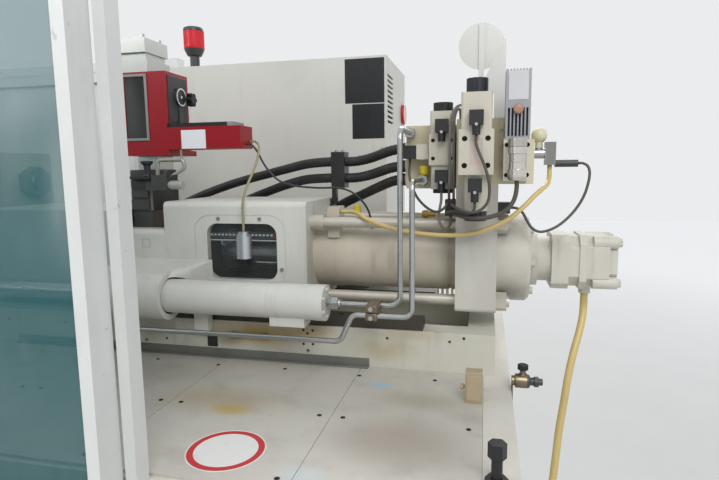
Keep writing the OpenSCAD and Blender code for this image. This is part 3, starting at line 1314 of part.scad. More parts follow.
module valve_plugs() {
  clamp_x = [housing_x1 + 5, housing_x1 + 42];
  clamp_y = 100;
  color("black") {
    din_plug(valve_x, -205, valve_z[1] + 22);
    din_plug(valve_x - 1, -199, valve_z[0] - 21);
    din_plug(left_valve_x, -107, plate_top + 128);
    din_plug(left_valve_x, -105, plate_top + 18);
    span([1362, -86, plate_top + 58], [1395, -56, plate_top + 88]);
    // Sockets in which the leads end, beside the rear plate
    span([plate_x0 - 24, -128, plate_top - 70], [plate_x0, -92, plate_top - 34]);
    span([plate_x1, -126, plate_top - 64], [plate_x1 + 26, -100, plate_top - 40]);
    // Block that holds the two upper hoses, on its stem at the housing's end
    difference() {
      union() {
        span([clamp_x[0], clamp_y - 24, axis_z + 166], [clamp_x[1], clamp_y + 24, axis_z + 262]);
        span([clamp_x[0], clamp_y - 20, axis_z + 122], [clamp_x[0] + 12, clamp_y - 2, axis_z + 167]);
        span([housing_x1, clamp_y - 22, axis_z + 112], [clamp_x[0] + 1, clamp_y, axis_z + 136]);
      }
      for (z = [1412, 1456]) bar_x(clamp_x[0] - 1, clamp_x[1] + 1, hose_d + 2 * slip, clamp_y, z);
    }
  }
}

module proportional_valve() {
  y0 = -housing_y;
  amp_z = plate_top + 92.5;
  color("silver") {
    difference() {
      span([prop_x - prop_w / 2, y0 - 70, plate_top + 8], [prop_x + prop_w / 2, y0, plate_top + 93]);
      for (x = [-1, 1], z = [-30, 30])
        bar_y(y0 - 71, y0 - 58, 9, prop_x + x * (prop_w / 2 - 6), plate_top + 50 + z);
    }
    // Barrel connector
    translate([prop_x, y0 - 88, plate_top + 10]) cylinder(h = 83, d = 30);
    for (z = [12, 77]) translate([prop_x, y0 - 88, plate_top + z]) cylinder(h = 14, d = 36);
    span([prop_x - 12, y0 - 88, plate_top + 24], [prop_x + 12, y0 - 69, plate_top + 78]);
    // Amplifier with its cooling fins
    difference() {
      span([prop_x - amp_w / 2, y0 - 72, amp_z], [prop_x + amp_w / 2, y0 - 16, amp_z + amp_h]);
      for (k = [-2.5:2.5]) span([prop_x + 7 * k - 2, y0 - 73, amp_z + 5],
        [prop_x + 7 * k + 2, y0 - 62, amp_z + 60]);
      for (k = [-3:3]) span([prop_x + 6 * k - 1.5, y0 - 73, amp_z + amp_h - 12],
        [prop_x + 6 * k + 1.5, y0 - 15, amp_z + amp_h + 1]);
    }
    // Pressure sensor on the right wing
    bar_x(sensor_x, sensor_x + 30, 22, -60, axis_z + 245);
    span([sensor_x + 28, -75, axis_z + 220], [sensor_x + 50, -45, axis_z + 270]);
    translate([sensor_x + 15, -60, axis_z + 250]) cylinder(h = 22, d = 16);
    translate([sensor_x + 15, -60, axis_z + 285]) sphere(d = 34);
    bar_x(sensor_x + 49, sensor_x + 98, 16, -60, axis_z + 223);
  }
}

module indicator_disc() {
  x = plate_x0 + 48;
  disc_z = axis_z + 497;
  color("silver") {
    span([x - 6, -3, manifold_top], [x + 6, 3, disc_z + 52]);
    translate([x, 5, disc_z]) rotate([90, 0, 0]) cylinder(h = 2.1, d = 105);
    // Sheet bracket behind the amplifier
    span([x + 30, -62, manifold_top], [x + 54, -58, manifold_top + 150]);
    translate([x + 54, -58, manifold_top + 60]) rotate([90, 0, 0]) linear_extrude(4)
      polygon([[-60, 0], [0, 0], [0, 116], [-6, 116]]);
  }
}

// Hexagon screw head that faces -Y
module nut_y(x, y, z) {
  translate([x, y, z]) rotate([-90, 0, 0]) cylinder(h = 6, d = 13, $fn = 6);
}

module steel_pipes() {
  d = 12;
  bend = 25;
  upper_x = 1377;
  lower_x = 1407;
  rise_x = 1285;
  run_z = port_z - 25;
  lower_z = lift_z - 14;
  color("silver") {
    pipe_run([[lift_x1 + 28, -lift_y, lift_z], [upper_x, -lift_y, lift_z],
      [upper_x, -lift_y, plate_top + 118], [upper_x, wing_y[0], plate_top + 118]], d, bend);
    pipe_run([[port_x, -port_y, port_z], [port_x, -port_y, run_z], [rise_x, -port_y, run_z],
      [rise_x, -port_y, lower_z], [lower_x, -port_y, lower_z], [lower_x, -port_y, plate_top + 8],
      [lower_x, wing_y[0], plate_top + 8]], d, 20);
    nut_x(lift_x1, lift_x1 + 12, 19, -lift_y, lift_z);
    nut_x(lift_x1 + 11, lift_x1 + 29, 26, -lift_y, lift_z);
    // Double pipe clamp
    span([1303, -port_y - 12, lift_z - 30], [1340, -lift_y + 12, lift_z + 16]);
    for (z = [-22, 8]) nut_y(1321, -port_y - 17, lift_z + z);
  }
}

module valve_leads() {
  color("black") {
    for (route = [upper_lead, lower_lead, left_lead, small_lead, sensor_lead, rear_lead, side_lead])
      cord(route, lead_d, 8);
    cord(prop_lead, prop_lead_d, 8);
  }
}

module hose_upper() { color("black") cord(hose_upper_route, hose_d); }
module hose_middle() { color("black") cord(hose_middle_route, hose_d); }
module hose_lower() { color("black") cord(hose_lower_route, hose_d); }
module pressure_hose() { color("khaki") cord(pressure_route, pressure_d, 8); }
module drain_hose() { color("khaki") cord(drain_route, drain_d); }
module separator_lead() { color("darkkhaki") cord(separator_route, lead_d, 8); }

module lead_connector() {
  p = separator_route[len(separator_route) - 1];
  color("silver") translate([p[0], p[1], p[2] - 64]) {
    cylinder(h = 54, d = 36);
    translate([0, 0, 53]) cylinder(h = 11, d = 24);
    translate([0, 0, 14]) cylinder(h = 3, d = 38);
  }
}

base_walls();
base_crossmembers();
levelling_feet();
side_panels();
hydraulic_unit();
deck_frame();
deck_plates();
unit_bed();
guide_rails();
fixed_platen();
tie_bars();
end_platen();
guard_frame();
control_cabinet();
beacon_lamp();
water_valve();
carriage_rods();
operator_panel();
stop_button();
injection_piston();
plasticizing_screw();
moving_platen();
ejector();
nozzle_guard_frame();
nozzle_guard_glass();
mould_guard_frame();
mould_guard_glass();
rear_guard_door();
cabinet_door();
separator_knob();
throat_slide();
water_valve_knob();
feed_housing();
sight_windows();
barrel();
heater_bands();
barrel_cover();
carriage_cylinders();
feed_throat();
separator_housing();
hopper_plates();
injection_cylinder();
cylinder_tie_rods();
rear_plate();
bearing_housing();
screw_motor();
valve_manifold();
control_valves();
valve_plugs();
proportional_valve();
indicator_disc();
steel_pipes();
valve_leads();
hose_upper();
hose_middle();
hose_lower();
pressure_hose();
drain_hose();
separator_lead();
lead_connector();
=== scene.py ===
import math

import bmesh
import bpy
from mathutils import Matrix, Vector


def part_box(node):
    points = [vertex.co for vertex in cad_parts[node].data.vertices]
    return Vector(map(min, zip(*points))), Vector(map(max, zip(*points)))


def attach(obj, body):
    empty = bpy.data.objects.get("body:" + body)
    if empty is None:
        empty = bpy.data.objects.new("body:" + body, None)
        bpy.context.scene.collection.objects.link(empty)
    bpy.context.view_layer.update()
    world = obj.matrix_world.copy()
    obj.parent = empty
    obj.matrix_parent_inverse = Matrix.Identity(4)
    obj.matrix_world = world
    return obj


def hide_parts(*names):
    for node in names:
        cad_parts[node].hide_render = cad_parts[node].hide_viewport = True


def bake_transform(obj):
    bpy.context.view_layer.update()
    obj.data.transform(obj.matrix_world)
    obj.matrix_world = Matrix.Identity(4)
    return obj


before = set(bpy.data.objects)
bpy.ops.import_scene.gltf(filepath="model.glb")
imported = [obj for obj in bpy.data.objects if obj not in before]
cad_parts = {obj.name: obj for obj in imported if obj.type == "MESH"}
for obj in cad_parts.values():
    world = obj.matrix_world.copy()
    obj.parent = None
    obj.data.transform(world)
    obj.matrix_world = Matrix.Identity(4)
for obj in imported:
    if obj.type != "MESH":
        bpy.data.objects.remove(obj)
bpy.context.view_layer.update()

MM = 0.001
UP, FRONT, REAR_END = (0, 0, 1), (0, -1, 0), (1, 0, 0)


def mm(*values):
    """A point given in millimetres, in metres."""
    return Vector(values) * MM


def srgb(red, green, blue):
    """Linear colour of an sRGB colour given from 0 to 255."""
    def linear(value):
        value /= 255
        return value / 12.92 if value <= 0.04045 else ((value + 0.055) / 1.055) ** 2.4
    return (linear(red), linear(green), linear(blue), 1.0)


# Places that several pieces share


def side(node, axis, far=True):
    """Place in millimetres of a CAD node's far side along an axis, or of its near side."""
    return round(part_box(node)[far]["xyz".index(axis)] / MM, 1)


DECK_Z = side("deck_plates", "z")
BED_Y = side("unit_bed", "y", False)
SEPARATOR_Y = side("separator_housing", "y", False)
CABINET_Y = 370
CYLINDER_Y, CYLINDER_Z = -215, 1142


# Camera


def aim_camera():
    """Camera at the photograph's place, level and lens."""
    yaw, pitch, roll = (math.radians(value) for value in (13.187, 7.509, -0.654))
    ahead = Vector((-math.sin(yaw), math.cos(yaw), 0))
    right = Vector((math.cos(yaw), math.sin(yaw), 0))
    up = Vector((0, 0, 1))
    forward = ahead * math.cos(pitch) - up * math.sin(pitch)
    raised = up * math.cos(pitch) + ahead * math.sin(pitch)
    across = right * math.cos(roll) + raised * math.sin(roll)
    upright = raised * math.cos(roll) - right * math.sin(roll)
    lens = bpy.data.cameras.new("photo_camera")
    lens.sensor_width = 36
    lens.lens = 26.847
    lens.clip_start = 0.02
    holder = bpy.data.objects.new("photo_camera", lens)
    turn = Matrix((across, upright, -forward)).transposed().to_4x4()
    holder.matrix_world = Matrix.Translation((1.550, -1.330, 1.435)) @ turn
    bpy.context.scene.collection.objects.link(holder)
    bpy.context.scene.camera = holder


# Shaders


class Term:
    """A shader socket that takes part in arithmetic."""

    def __init__(self, shade, socket):
        self.shade = shade
        self.socket = socket

    def math(self, operation, other=0.0, swapped=False):
        pair = {0: other, 1: self} if swapped else {0: self, 1: other}
        return self.shade.node("ShaderNodeMath", {"operation": operation}, pair)

    def __add__(self, other):
        return self.math("ADD", other)

    def __sub__(self, other):
        return self.math("SUBTRACT", other)

    def __mul__(self, other):
        return self.math("MULTIPLY", other)

    def __rsub__(self, other):
        return self.math("SUBTRACT", other, True)

    __radd__ = __add__
    __rmul__ = __mul__

    def step(self, low, high):
        """Runs smoothly from 0 at low to 1 at high."""
        made = {"interpolation_type": "SMOOTHSTEP"}
        return self.shade.node("ShaderNodeMapRange", made, {0: self, 1: low, 2: high})

    def above(self, limit):
        return self.math("GREATER_THAN", limit)

    def larger(self, other):
        return self.math("MAXIMUM", other)


class Shade:
    """A material built around one Principled surface."""

    def __init__(self, name, **fixed):
        self.material = bpy.data.materials.new(name)
        self.material.use_nodes = True
        self.tree = self.material.node_tree
        self.tree.nodes.clear()
        self.surface = self.tree.nodes.new("ShaderNodeBsdfPrincipled")
        self.out = self.tree.nodes.new("ShaderNodeOutputMaterial")
        self.tree.links.new(self.surface.outputs[0], self.out.inputs[0])
        for socket, value in fixed.items():
            self.surface.inputs[socket.replace("_", " ")].default_value = value
        self.place = self.node("ShaderNodeTexCoord", output="Object")

    def node(self, kind, settings=None, inputs=None, output=0):
        made = self.tree.nodes.new(kind)
        for name, value in (settings or {}).items():
            setattr(made, name, value)
        for name, value in (inputs or {}).items():
            self.feed(made.inputs[name], value)
        return Term(self, made.outputs[output])

    def vector(self, operation, first, second, output=0):
        """Vector Math on places and corners; output 1 is a length."""
        made = {"operation": operation}
        return self.node("ShaderNodeVectorMath", made, {0: first, 1: second}, output)

    def feed(self, socket, value):
        if isinstance(value, Term):
            self.tree.links.new(value.socket, socket)
        else:
            socket.default_value = value

    def set(self, **links):
        for socket, value in links.items():
            self.feed(self.surface.inputs[socket.replace("_", " ")], value)

    def noise(self, scale, detail=3.0, stretch=None):
        place = self.place
        if stretch:
            place = self.node("ShaderNodeMapping", None, {"Vector": self.place, "Scale": stretch})
        return self.node("ShaderNodeTexNoise", None,
                         {"Vector": place, "Scale": scale, "Detail": detail, "Roughness": 0.55})

    def blend(self, first, second, factor):
        """Colour that runs from first to second with the factor."""
        made = {"data_type": "RGBA", "clamp_factor": True}
        return self.node("ShaderNodeMix", made, {0: factor, 6: first, 7: second}, output=2)

    def inside(self, low, high):
        """1 within a box between two corners in millimetres."""
        low, high = mm(*low), mm(*high)
        offset = self.vector("SUBTRACT", self.place, (low + high) / 2)
        over = self.vector("SUBTRACT", self.vector("ABSOLUTE", offset, (0, 0, 0)), (high - low) / 2)
        parts = self.tree.nodes.new("ShaderNodeSeparateXYZ")
        self.feed(parts.inputs[0], over)
        along_x, along_y, along_z = (Term(self, socket) for socket in parts.outputs)
        return 1 - along_x.larger(along_y).larger(along_z).above(0.0)

    def spot(self, centre, radii):
        """Soft stain round a centre, 1 in the middle, sizes in millimetres."""
        offset = self.vector("SUBTRACT", self.place, mm(*centre))
        scaled = self.vector("DIVIDE", offset, mm(*radii))
        return 1 - self.vector("LENGTH", scaled, (0, 0, 0), 1).step(0.15, 1.0)

    def bump(self, height, strength, distance):
        self.set(Normal=self.node("ShaderNodeBump", None,
                                  {"Height": height, "Strength": strength, "Distance": distance}))


CREAM = srgb(212, 209, 198)
WHITE = srgb(213, 215, 212)
BLACK = srgb(26, 26, 27)
STEEL = srgb(176, 178, 180)
OIL = srgb(120, 92, 48)
DUST = srgb(96, 92, 82)
# Near-black painted shade for the recessed gap round the valves' label.
GAP_SHADE = srgb(28, 26, 24)


def zoned(shade, colour, roughness, metallic, zones):
    """Other finishes and painted shade inside boxes: each zone is low, high, colour, roughness, metallic."""
    for low, high, tone, rough, metal in zones:
        mask = shade.inside(low, high)
        colour = shade.blend(colour, tone, mask)
        roughness = roughness * (1 - mask) + mask * rough
        if metallic != metal:
            metallic = metallic * (1 - mask) + mask * metal
    return colour, roughness, metallic


def paint(name, tone, rough=0.45, grime=0.35, brush=0.25, stains=(), zones=(), chips=0.74):
    """Aged paint: cloudy tone, oily streaks that run down, chips and a hand-painted skin."""
    shade = Shade(name)
    cloud = shade.noise(5.0, 4.0)
    fleck = shade.noise(70.0, 3.0)
    streak = shade.noise(9.0, 4.0, (3.0, 3.0, 0.5))
    deep = tuple(value * (0.97 - 0.4 * grime) for value in tone[:3]) + (1.0,)
    colour = shade.blend(tone, deep, cloud.step(0.35, 0.75))
    colour = shade.blend(colour, DUST, streak.step(0.52, 0.80) * grime * 0.6)
    colour = shade.blend(colour, OIL, streak.step(0.60, 0.85) * fleck.step(0.35, 0.70) * grime)
    for centre, radii, tint, amount in stains:
        mask = shade.spot(centre, radii) * cloud.step(0.25, 0.60) * amount
        colour = shade.blend(colour, tint, mask)
    chip = shade.noise(38.0, 6.0).step(chips, chips + 0.03)
    colour = shade.blend(colour, DUST, chip * 0.30)
    wear = fleck * 0.22 + (rough - 0.11)
    colour, wear, metal = zoned(shade, colour, wear, 0.0, zones)
    shade.set(Base_Color=colour, Roughness=wear, Metallic=metal)
    skin = shade.noise(240.0, 2.0) * min(0.3, brush) + shade.noise(34.0, 3.0) * brush - chip * 0.5
    shade.bump(skin, 0.35, 0.0006)
    return shade.material


def metal(name, tone, rough=0.3, grain=(1.0, 1.0, 1.0), dirt=0.3, zones=(), stains=(), shine=1.0, skin=0.20):
    """Machined metal with its grain, dull patches and oil in the hollows."""
    shade = Shade(name)
    cloud = shade.noise(14.0, 4.0)
    lines = shade.noise(120.0, 2.0, grain)
    dark = tuple(value * 0.55 for value in tone[:3]) + (1.0,)
    colour = shade.blend(tone, dark, cloud.step(0.45, 0.80) * dirt)
    colour = shade.blend(colour, OIL, shade.noise(26.0, 4.0).step(0.62, 0.80) * dirt * 0.6)
    for centre, radii, tint, amount in stains:
        colour = shade.blend(colour, tint, shade.spot(centre, radii) * amount)
    wear = lines * (1.1 * skin) + cloud * 0.12 + (rough - 0.04 - 0.55 * skin)
    colour, wear, bright = zoned(shade, colour, wear, shine, zones)
    shade.set(Base_Color=colour, Roughness=wear, Metallic=bright)
    shade.bump(lines * 0.6 + cloud * 0.4, skin, 0.0004)
    return shade.material


def plastic(name, tone, rough=0.5, grain=180.0, dust=0.25, zones=()):
    """Moulded plastic or rubber with a fine grain and dust on it."""
    shade = Shade(name)
    cloud = shade.noise(18.0, 4.0)
    fine = shade.noise(grain, 3.0)
    colour = shade.blend(tone, DUST, cloud.step(0.50, 0.85) * dust)
    wear = fine * 0.2 + (rough - 0.1)
    colour, wear, bright = zoned(shade, colour, wear, 0.0, zones)
    shade.set(Base_Color=colour, Roughness=wear, Metallic=bright)
    shade.bump(fine, 0.25, 0.0003)
    return shade.material


def glazing(name, tone, alpha):
    """Clear pane with faint smears and dust."""
    shade = Shade(name, IOR=1.45)
    smear = shade.noise(6.0, 5.0, (1.0, 1.0, 0.35))
    colour = shade.blend(tone, srgb(196, 204, 200), smear.step(0.55, 0.85) * 0.5)
    shade.set(Base_Color=colour, Roughness=smear * 0.12 + 0.06,
              Alpha=smear.step(0.50, 0.90) * 0.10 + alpha)
    return shade.material


def dress(material, *nodes):
    """Gives CAD nodes their material."""
    for node in nodes:
        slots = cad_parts[node].data.materials
        slots.clear()
        slots.append(material)


# Meshes


def set_out(name, body, mesh, bevel=0.0, replaces=()):
    """Finished object from a mesh in row coordinates, riding on its body."""
    mesh.shade_smooth()
    mesh.set_sharp_from_angle(angle=math.radians(32))
    made = bpy.data.objects.new(name, mesh)
    bpy.context.scene.collection.objects.link(made)
    if bevel:
        edge = made.modifiers.new("edge", "BEVEL")
        edge.width = bevel * MM
        edge.segments = 2
        edge.limit_method = "ANGLE"
    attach(made, body)
    if replaces:
        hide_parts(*replaces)


def piece(name, body, material, bm, bevel=0.0, replaces=()):
    """Finished object from a mesh in the making."""
    mesh = bpy.data.meshes.new(name)
    bmesh.ops.recalc_face_normals(bm, faces=bm.faces)
    bm.to_mesh(mesh)
    bm.free()
    mesh.materials.append(material)
    set_out(name, body, mesh, bevel, replaces)


def box(bm, low, high):
    """Box between two corners in millimetres."""
    low, high = mm(*low), mm(*high)
    corners = [bm.verts.new((x, y, z)) for x in (low.x, high.x)
               for y in (low.y, high.y) for z in (low.z, high.z)]
    for ring in ((0, 1, 3, 2), (4, 6, 7, 5), (0, 4, 5, 1), (2, 3, 7, 6), (0, 2, 6, 4), (1, 5, 7, 3)):
        bm.faces.new([corners[index] for index in ring])


def turns(count):
    """Angles of a full turn in equal steps."""
    return [2 * math.pi * step / count for step in range(count)]


def close_rings(bm, rings):
    """Faces between rings of vertices, and over the first and the last."""
    for low, high in zip(rings, rings[1:]):
        for step in range(len(low)):
            bm.faces.new((low[step - 1], low[step], high[step], high[step - 1]))
    bm.faces.new(rings[0][::-1])
    bm.faces.new(rings[-1])


def lathe(bm, base, axis, profile, sides=32):
    """Turned piece, closed at both ends: profile holds (distance along the axis, radius) in millimetres."""
    axis = Vector(axis).normalized()
    across = axis.orthogonal().normalized()
    other = axis.cross(across)
    rings = []
    for along, radius in profile:
        centre = mm(*base) + axis * along * MM
        rings.append([bm.verts.new(centre + (across * math.cos(turn) + other * math.sin(turn)) * radius * MM)
                      for turn in turns(sides)])
    close_rings(bm, rings)


def solid(boxes=(), turned=()):
    """Mesh in the making out of boxes (low, high) and turned pieces (base, axis, profile, sides)."""
    bm = bmesh.new()
    for low, high in boxes:
        box(bm, low, high)
    for entry in turned:
        lathe(bm, *entry)
    return bm


def hexagon(bm, base, axis, across, height):
    """Nut whose corners are turned down at both ends."""
    corner = across / math.sqrt(3)
    lathe(bm, base, axis, [(0, corner * 0.88), (height * 0.1, corner), (height * 0.9, corner),
                           (height, corner * 0.88)], 6)


def sweep(bm, points, radius, sides=16, wrap=0.0):
    """Tube through points in metres, closed at both ends, with a spiral wrap if asked."""
    wrap_pitch = 0.012
    reach = 0.0
    across = None
    rings = []
    for index, point in enumerate(points):
        last = points[max(index - 1, 0)]
        ahead = (points[min(index + 1, len(points) - 1)] - last).normalized()
        across = ahead.orthogonal() if across is None else across - ahead * across.dot(ahead)
        across.normalize()
        other = ahead.cross(across)
        reach += (point - last).length
        ring = []
        for turn in turns(sides):
            out = across * math.cos(turn) + other * math.sin(turn)
            swell = wrap * math.sin(turn + 2 * math.pi * reach / wrap_pitch)
            ring.append(bm.verts.new(point + out * (radius + swell)))
        rings.append(ring)
    close_rings(bm, rings)


def smooth_route(points, spacing):
    """Points of a smooth curve through a route given in millimetres."""
    knots = [mm(*point) for point in points]
    knots = [2 * knots[0] - knots[1]] + knots + [2 * knots[-1] - knots[-2]]
    route = []
    for a, b, c, d in zip(knots, knots[1:], knots[2:], knots[3:]):
        count = max(2, round((c - b).length / spacing))
        for step in range(count):
            t = step / count
            route.append(0.5 * (2 * b + (c - a) * t + (2 * a - 5 * b + 4 * c - d) * t * t
                                + (3 * b - a - 3 * c + d) * t ** 3))
    route.append(knots[-2])
    return route


def rounded_route(points, radius, steps=7):
    """Route in metres through points in millimetres, its corners bent to a radius."""
    corners = [Vector(point) for point in points]
    route = [corners[0]]
    for before, corner, after in zip(corners, corners[1:], corners[2:]):
        into, out = (corner - before).normalized(), (after - corner).normalized()
        turn = into.angle(out)
        cut = radius * math.tan(turn / 2)
        inward = (out - into * into.dot(out)).normalized()
        centre = corner - into * cut + inward * radius
        for step in range(steps + 1):
            angle = turn * step / steps
            route.append(centre - inward * radius * math.cos(angle) + into * radius * math.sin(angle))
    route.append(corners[-1])
    return [point * MM for point in route]


def length_of(points):
    return sum((second - first).length for first, second in zip(points, points[1:]))


# Cords


ROUTES = {
    "hose_upper": [(560, 370, 1318), (560, 330, 1318), (563, 304, 1319), (573, 279, 1323),
                   (590, 256, 1329), (614, 237, 1337), (646, 224, 1348), (700, 214, 1367),
                   (780, 206, 1392), (850, 198, 1410), (915, 184, 1424), (985, 158, 1438),
                   (1060, 118, 1451), (1130, 100, 1456), (1195, 100, 1456), (1225, 96, 1459),
                   (1254, 85, 1465), (1282, 69, 1473), (1310, 54, 1481), (1334, 46, 1485),
                   (1352, 45, 1486), (1366, 45, 1486)],
    "hose_middle": [(760, 370, 1318), (760, 330, 1318), (763, 304, 1319), (773, 279, 1323),
                    (790, 256, 1330), (812, 238, 1338), (842, 222, 1349), (884, 206, 1363),
                    (935, 186, 1379), (990, 158, 1394), (1060, 120, 1408), (1130, 100, 1412),
                    (1195, 100, 1412), (1225, 96, 1415), (1254, 85, 1421), (1282, 69, 1429),
                    (1310, 54, 1437), (1334, 46, 1441), (1352, 45, 1442), (1366, 45, 1442)],
    "hose_lower": [(960, 370, 1240), (960, 330, 1240), (963, 304, 1241), (973, 279, 1246),
                   (990, 254, 1255), (1014, 230, 1268), (1045, 207, 1284), (1088, 182, 1305),
                   (1138, 156, 1329), (1188, 131, 1352), (1225, 112, 1367), (1258, 91, 1381),
                   (1288, 71, 1393), (1312, 57, 1402), (1334, 48, 1407), (1352, 45, 1408),
                   (1366, 45, 1408)],
    "pressure_hose": [(1206, -62, 1333), (1220, -62, 1333), (1236, -68, 1333), (1250, -81, 1332),
                      (1264, -97, 1328), (1284, -113, 1319), (1315, -126, 1309), (1360, -135, 1298),
                      (1410, -146, 1292), (1460, -154, 1290), (1510, -158, 1293),
                      (1556, -157, 1305), (1598, -151, 1325), (1630, -140, 1351),
                      (1654, -125, 1375), (1672, -108, 1390), (1683, -89, 1399), (1687, -74, 1407),
                      (1689, -64, 1419), (1689, -60, 1431), (1689, -60, 1440)],
    "drain_hose": [(1783, 0, 1140), (1783, 0, 1112), (1780, -10, 1084), (1770, -30, 1048),
                   (1757, -50, 1008), (1745, -68, 958), (1735, -84, 898), (1725, -98, 835),
                   (1718, -112, 775), (1712, -122, 725), (1702, -130, 682), (1686, -134, 646),
                   (1664, -134, 620), (1640, -134, 608), (1622, -134, 608)],
    "separator_lead": [(966, -45, 1508), (980, -45, 1508), (994, -56, 1499), (1002, -76, 1479),
                       (1004, -98, 1452), (1001, -119, 1425), (996, -138, 1398), (991, -149, 1370),
                       (989, -151, 1345), (989, -151, 1318), (989, -151, 1290)],
    "bar_lead": [(966, -66, 1500), (978, -66, 1500), (992, -64, 1484), (1006, -62, 1456),
                 (1024, -60, 1430), (1050, -60, 1408), (1090, -60, 1396), (1146, -60, 1391),
                 (1190, -60, 1391), (1222, -60, 1386), (1246, -58, 1372), (1264, -55, 1352),
                 (1274, -49, 1332), (1280, -45, 1304), (1281, -44, 1291)],
    "upper_lead": [(1531, -219, 1501), (1531, -219, 1484), (1538, -221, 1464), (1548, -223, 1440),
                   (1556, -224, 1414), (1559, -224, 1390), (1556, -223, 1368), (1545, -222, 1353),
                   (1530, -221, 1346), (1514, -216, 1346), (1500, -206, 1350), (1488, -190, 1355),
                   (1481, -170, 1358), (1480, -148, 1356), (1480, -128, 1356)],
    "lower_lead": [(1530, -213, 1366), (1530, -213, 1354), (1526, -212, 1346), (1517, -208, 1342),
                   (1505, -200, 1343), (1492, -188, 1345), (1480, -171, 1344), (1471, -150, 1340),
                   (1470, -128, 1340)],
    "left_lead": [(1455, -119, 1384), (1455, -119, 1364), (1452, -124, 1345), (1451, -131, 1327),
                  (1455, -135, 1312), (1463, -133, 1302), (1471, -126, 1303), (1476, -118, 1314),
                  (1476, -116, 1330)],
    "small_lead": [(1378, -71, 1458), (1378, -71, 1444), (1377, -75, 1426), (1383, -85, 1400),
                   (1399, -102, 1370), (1422, -122, 1349), (1444, -140, 1340), (1459, -150, 1345),
                   (1468, -148, 1354), (1470, -140, 1358), (1470, -128, 1358)],
    "sensor_lead": [(1748, -60, 1443), (1758, -60, 1443), (1768, -62, 1437), (1772, -66, 1424),
                    (1770, -71, 1404), (1762, -77, 1376), (1748, -84, 1350), (1728, -92, 1326),
                    (1706, -100, 1308), (1684, -107, 1298), (1666, -112, 1296), (1651, -114, 1304),
                    (1640, -114, 1320), (1631, -113, 1337), (1618, -113, 1347), (1604, -113, 1348)],
    "prop_lead": [(1611, -218, 1410), (1611, -218, 1392), (1607, -218, 1372), (1596, -218, 1354),
                  (1578, -216, 1342), (1556, -213, 1335), (1532, -209, 1333), (1512, -200, 1334),
                  (1498, -184, 1336), (1488, -166, 1338), (1482, -148, 1340), (1482, -128, 1340)],
    "rear_lead": [(1493, -70, 1540), (1493, -70, 1556), (1492, -84, 1565), (1489, -102, 1565),
                  (1485, -116, 1555), (1482, -123, 1536), (1482, -124, 1500), (1482, -124, 1460),
                  (1482, -124, 1420), (1482, -121, 1396), (1482, -114, 1380), (1482, -112, 1366)],
    "side_lead": [(1503, -84, 1540), (1503, -84, 1558), (1501, -98, 1569), (1494, -117, 1571),
                  (1484, -131, 1562), (1476, -136, 1542), (1474, -136, 1510), (1474, -136, 1460),
                  (1474, -135, 1424), (1473, -130, 1396), (1472, -118, 1380), (1472, -112, 1366)],
}


def lay_cord(name, diameter, material, wrap=0.0, follows=(), replaces=()):
    """One cord along its route; it rides on the carriage, or stays fixed where it is laid between base and
    carriage.
    """
    route = smooth_route(ROUTES[name], 0.004 if wrap else 0.006)
    bm = bmesh.new()
    sweep(bm, route, diameter * MM / 2 - wrap, 18 if diameter > 15 else 12, wrap)
    mesh = bpy.data.meshes.new(name)
    bm.to_mesh(mesh)
    bm.free()
    mesh.materials.append(material)
    mesh.shade_smooth()
    made = bpy.data.objects.new(name + "_run", mesh)
    bpy.context.scene.collection.objects.link(made)
    if follows:
        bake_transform(made)
    else:
        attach(made, "carriage")
    if replaces:
        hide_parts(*replaces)
    length_of(route)


def lay_cords():
    wrapped = plastic("wrapped_hose", srgb(30, 30, 31), 0.55, 420.0, 0.30)
    amber = plastic("amber_tube", srgb(205, 182, 120), 0.35, 300.0, 0.15)
    olive = plastic("grey_green_cable", srgb(150, 143, 112), 0.5, 300.0, 0.2)
    black = plastic("dark_cable", srgb(78, 74, 68), 0.5, 300.0, 0.2)
    grey = plastic("grey_cable", srgb(118, 114, 106), 0.5, 300.0, 0.2)
    for name in ("hose_upper", "hose_middle", "hose_lower"):
        lay_cord(name, 27, wrapped, 0.0006, ("base", "carriage"), (name,))
    lay_cord("drain_hose", 17, amber, 0, ("carriage", "base"), ("drain_hose",))
    lay_cord("pressure_hose", 10, amber, replaces=("pressure_hose",))
    lay_cord("separator_lead", 6, olive, replaces=("separator_lead",))
    lay_cord("upper_lead", 6, black, replaces=("valve_leads",))
    for name in ("lower_lead", "small_lead", "sensor_lead"):
        lay_cord(name, 6, black)
    for name in ("left_lead", "rear_lead", "side_lead"):
        lay_cord(name, 6, grey)
    lay_cord("prop_lead", 9, black)
    lay_cord("bar_lead", 5, plastic("black_cable", srgb(38, 38, 38), 0.5, 300.0, 0.2))


# Finishes of the CAD nodes


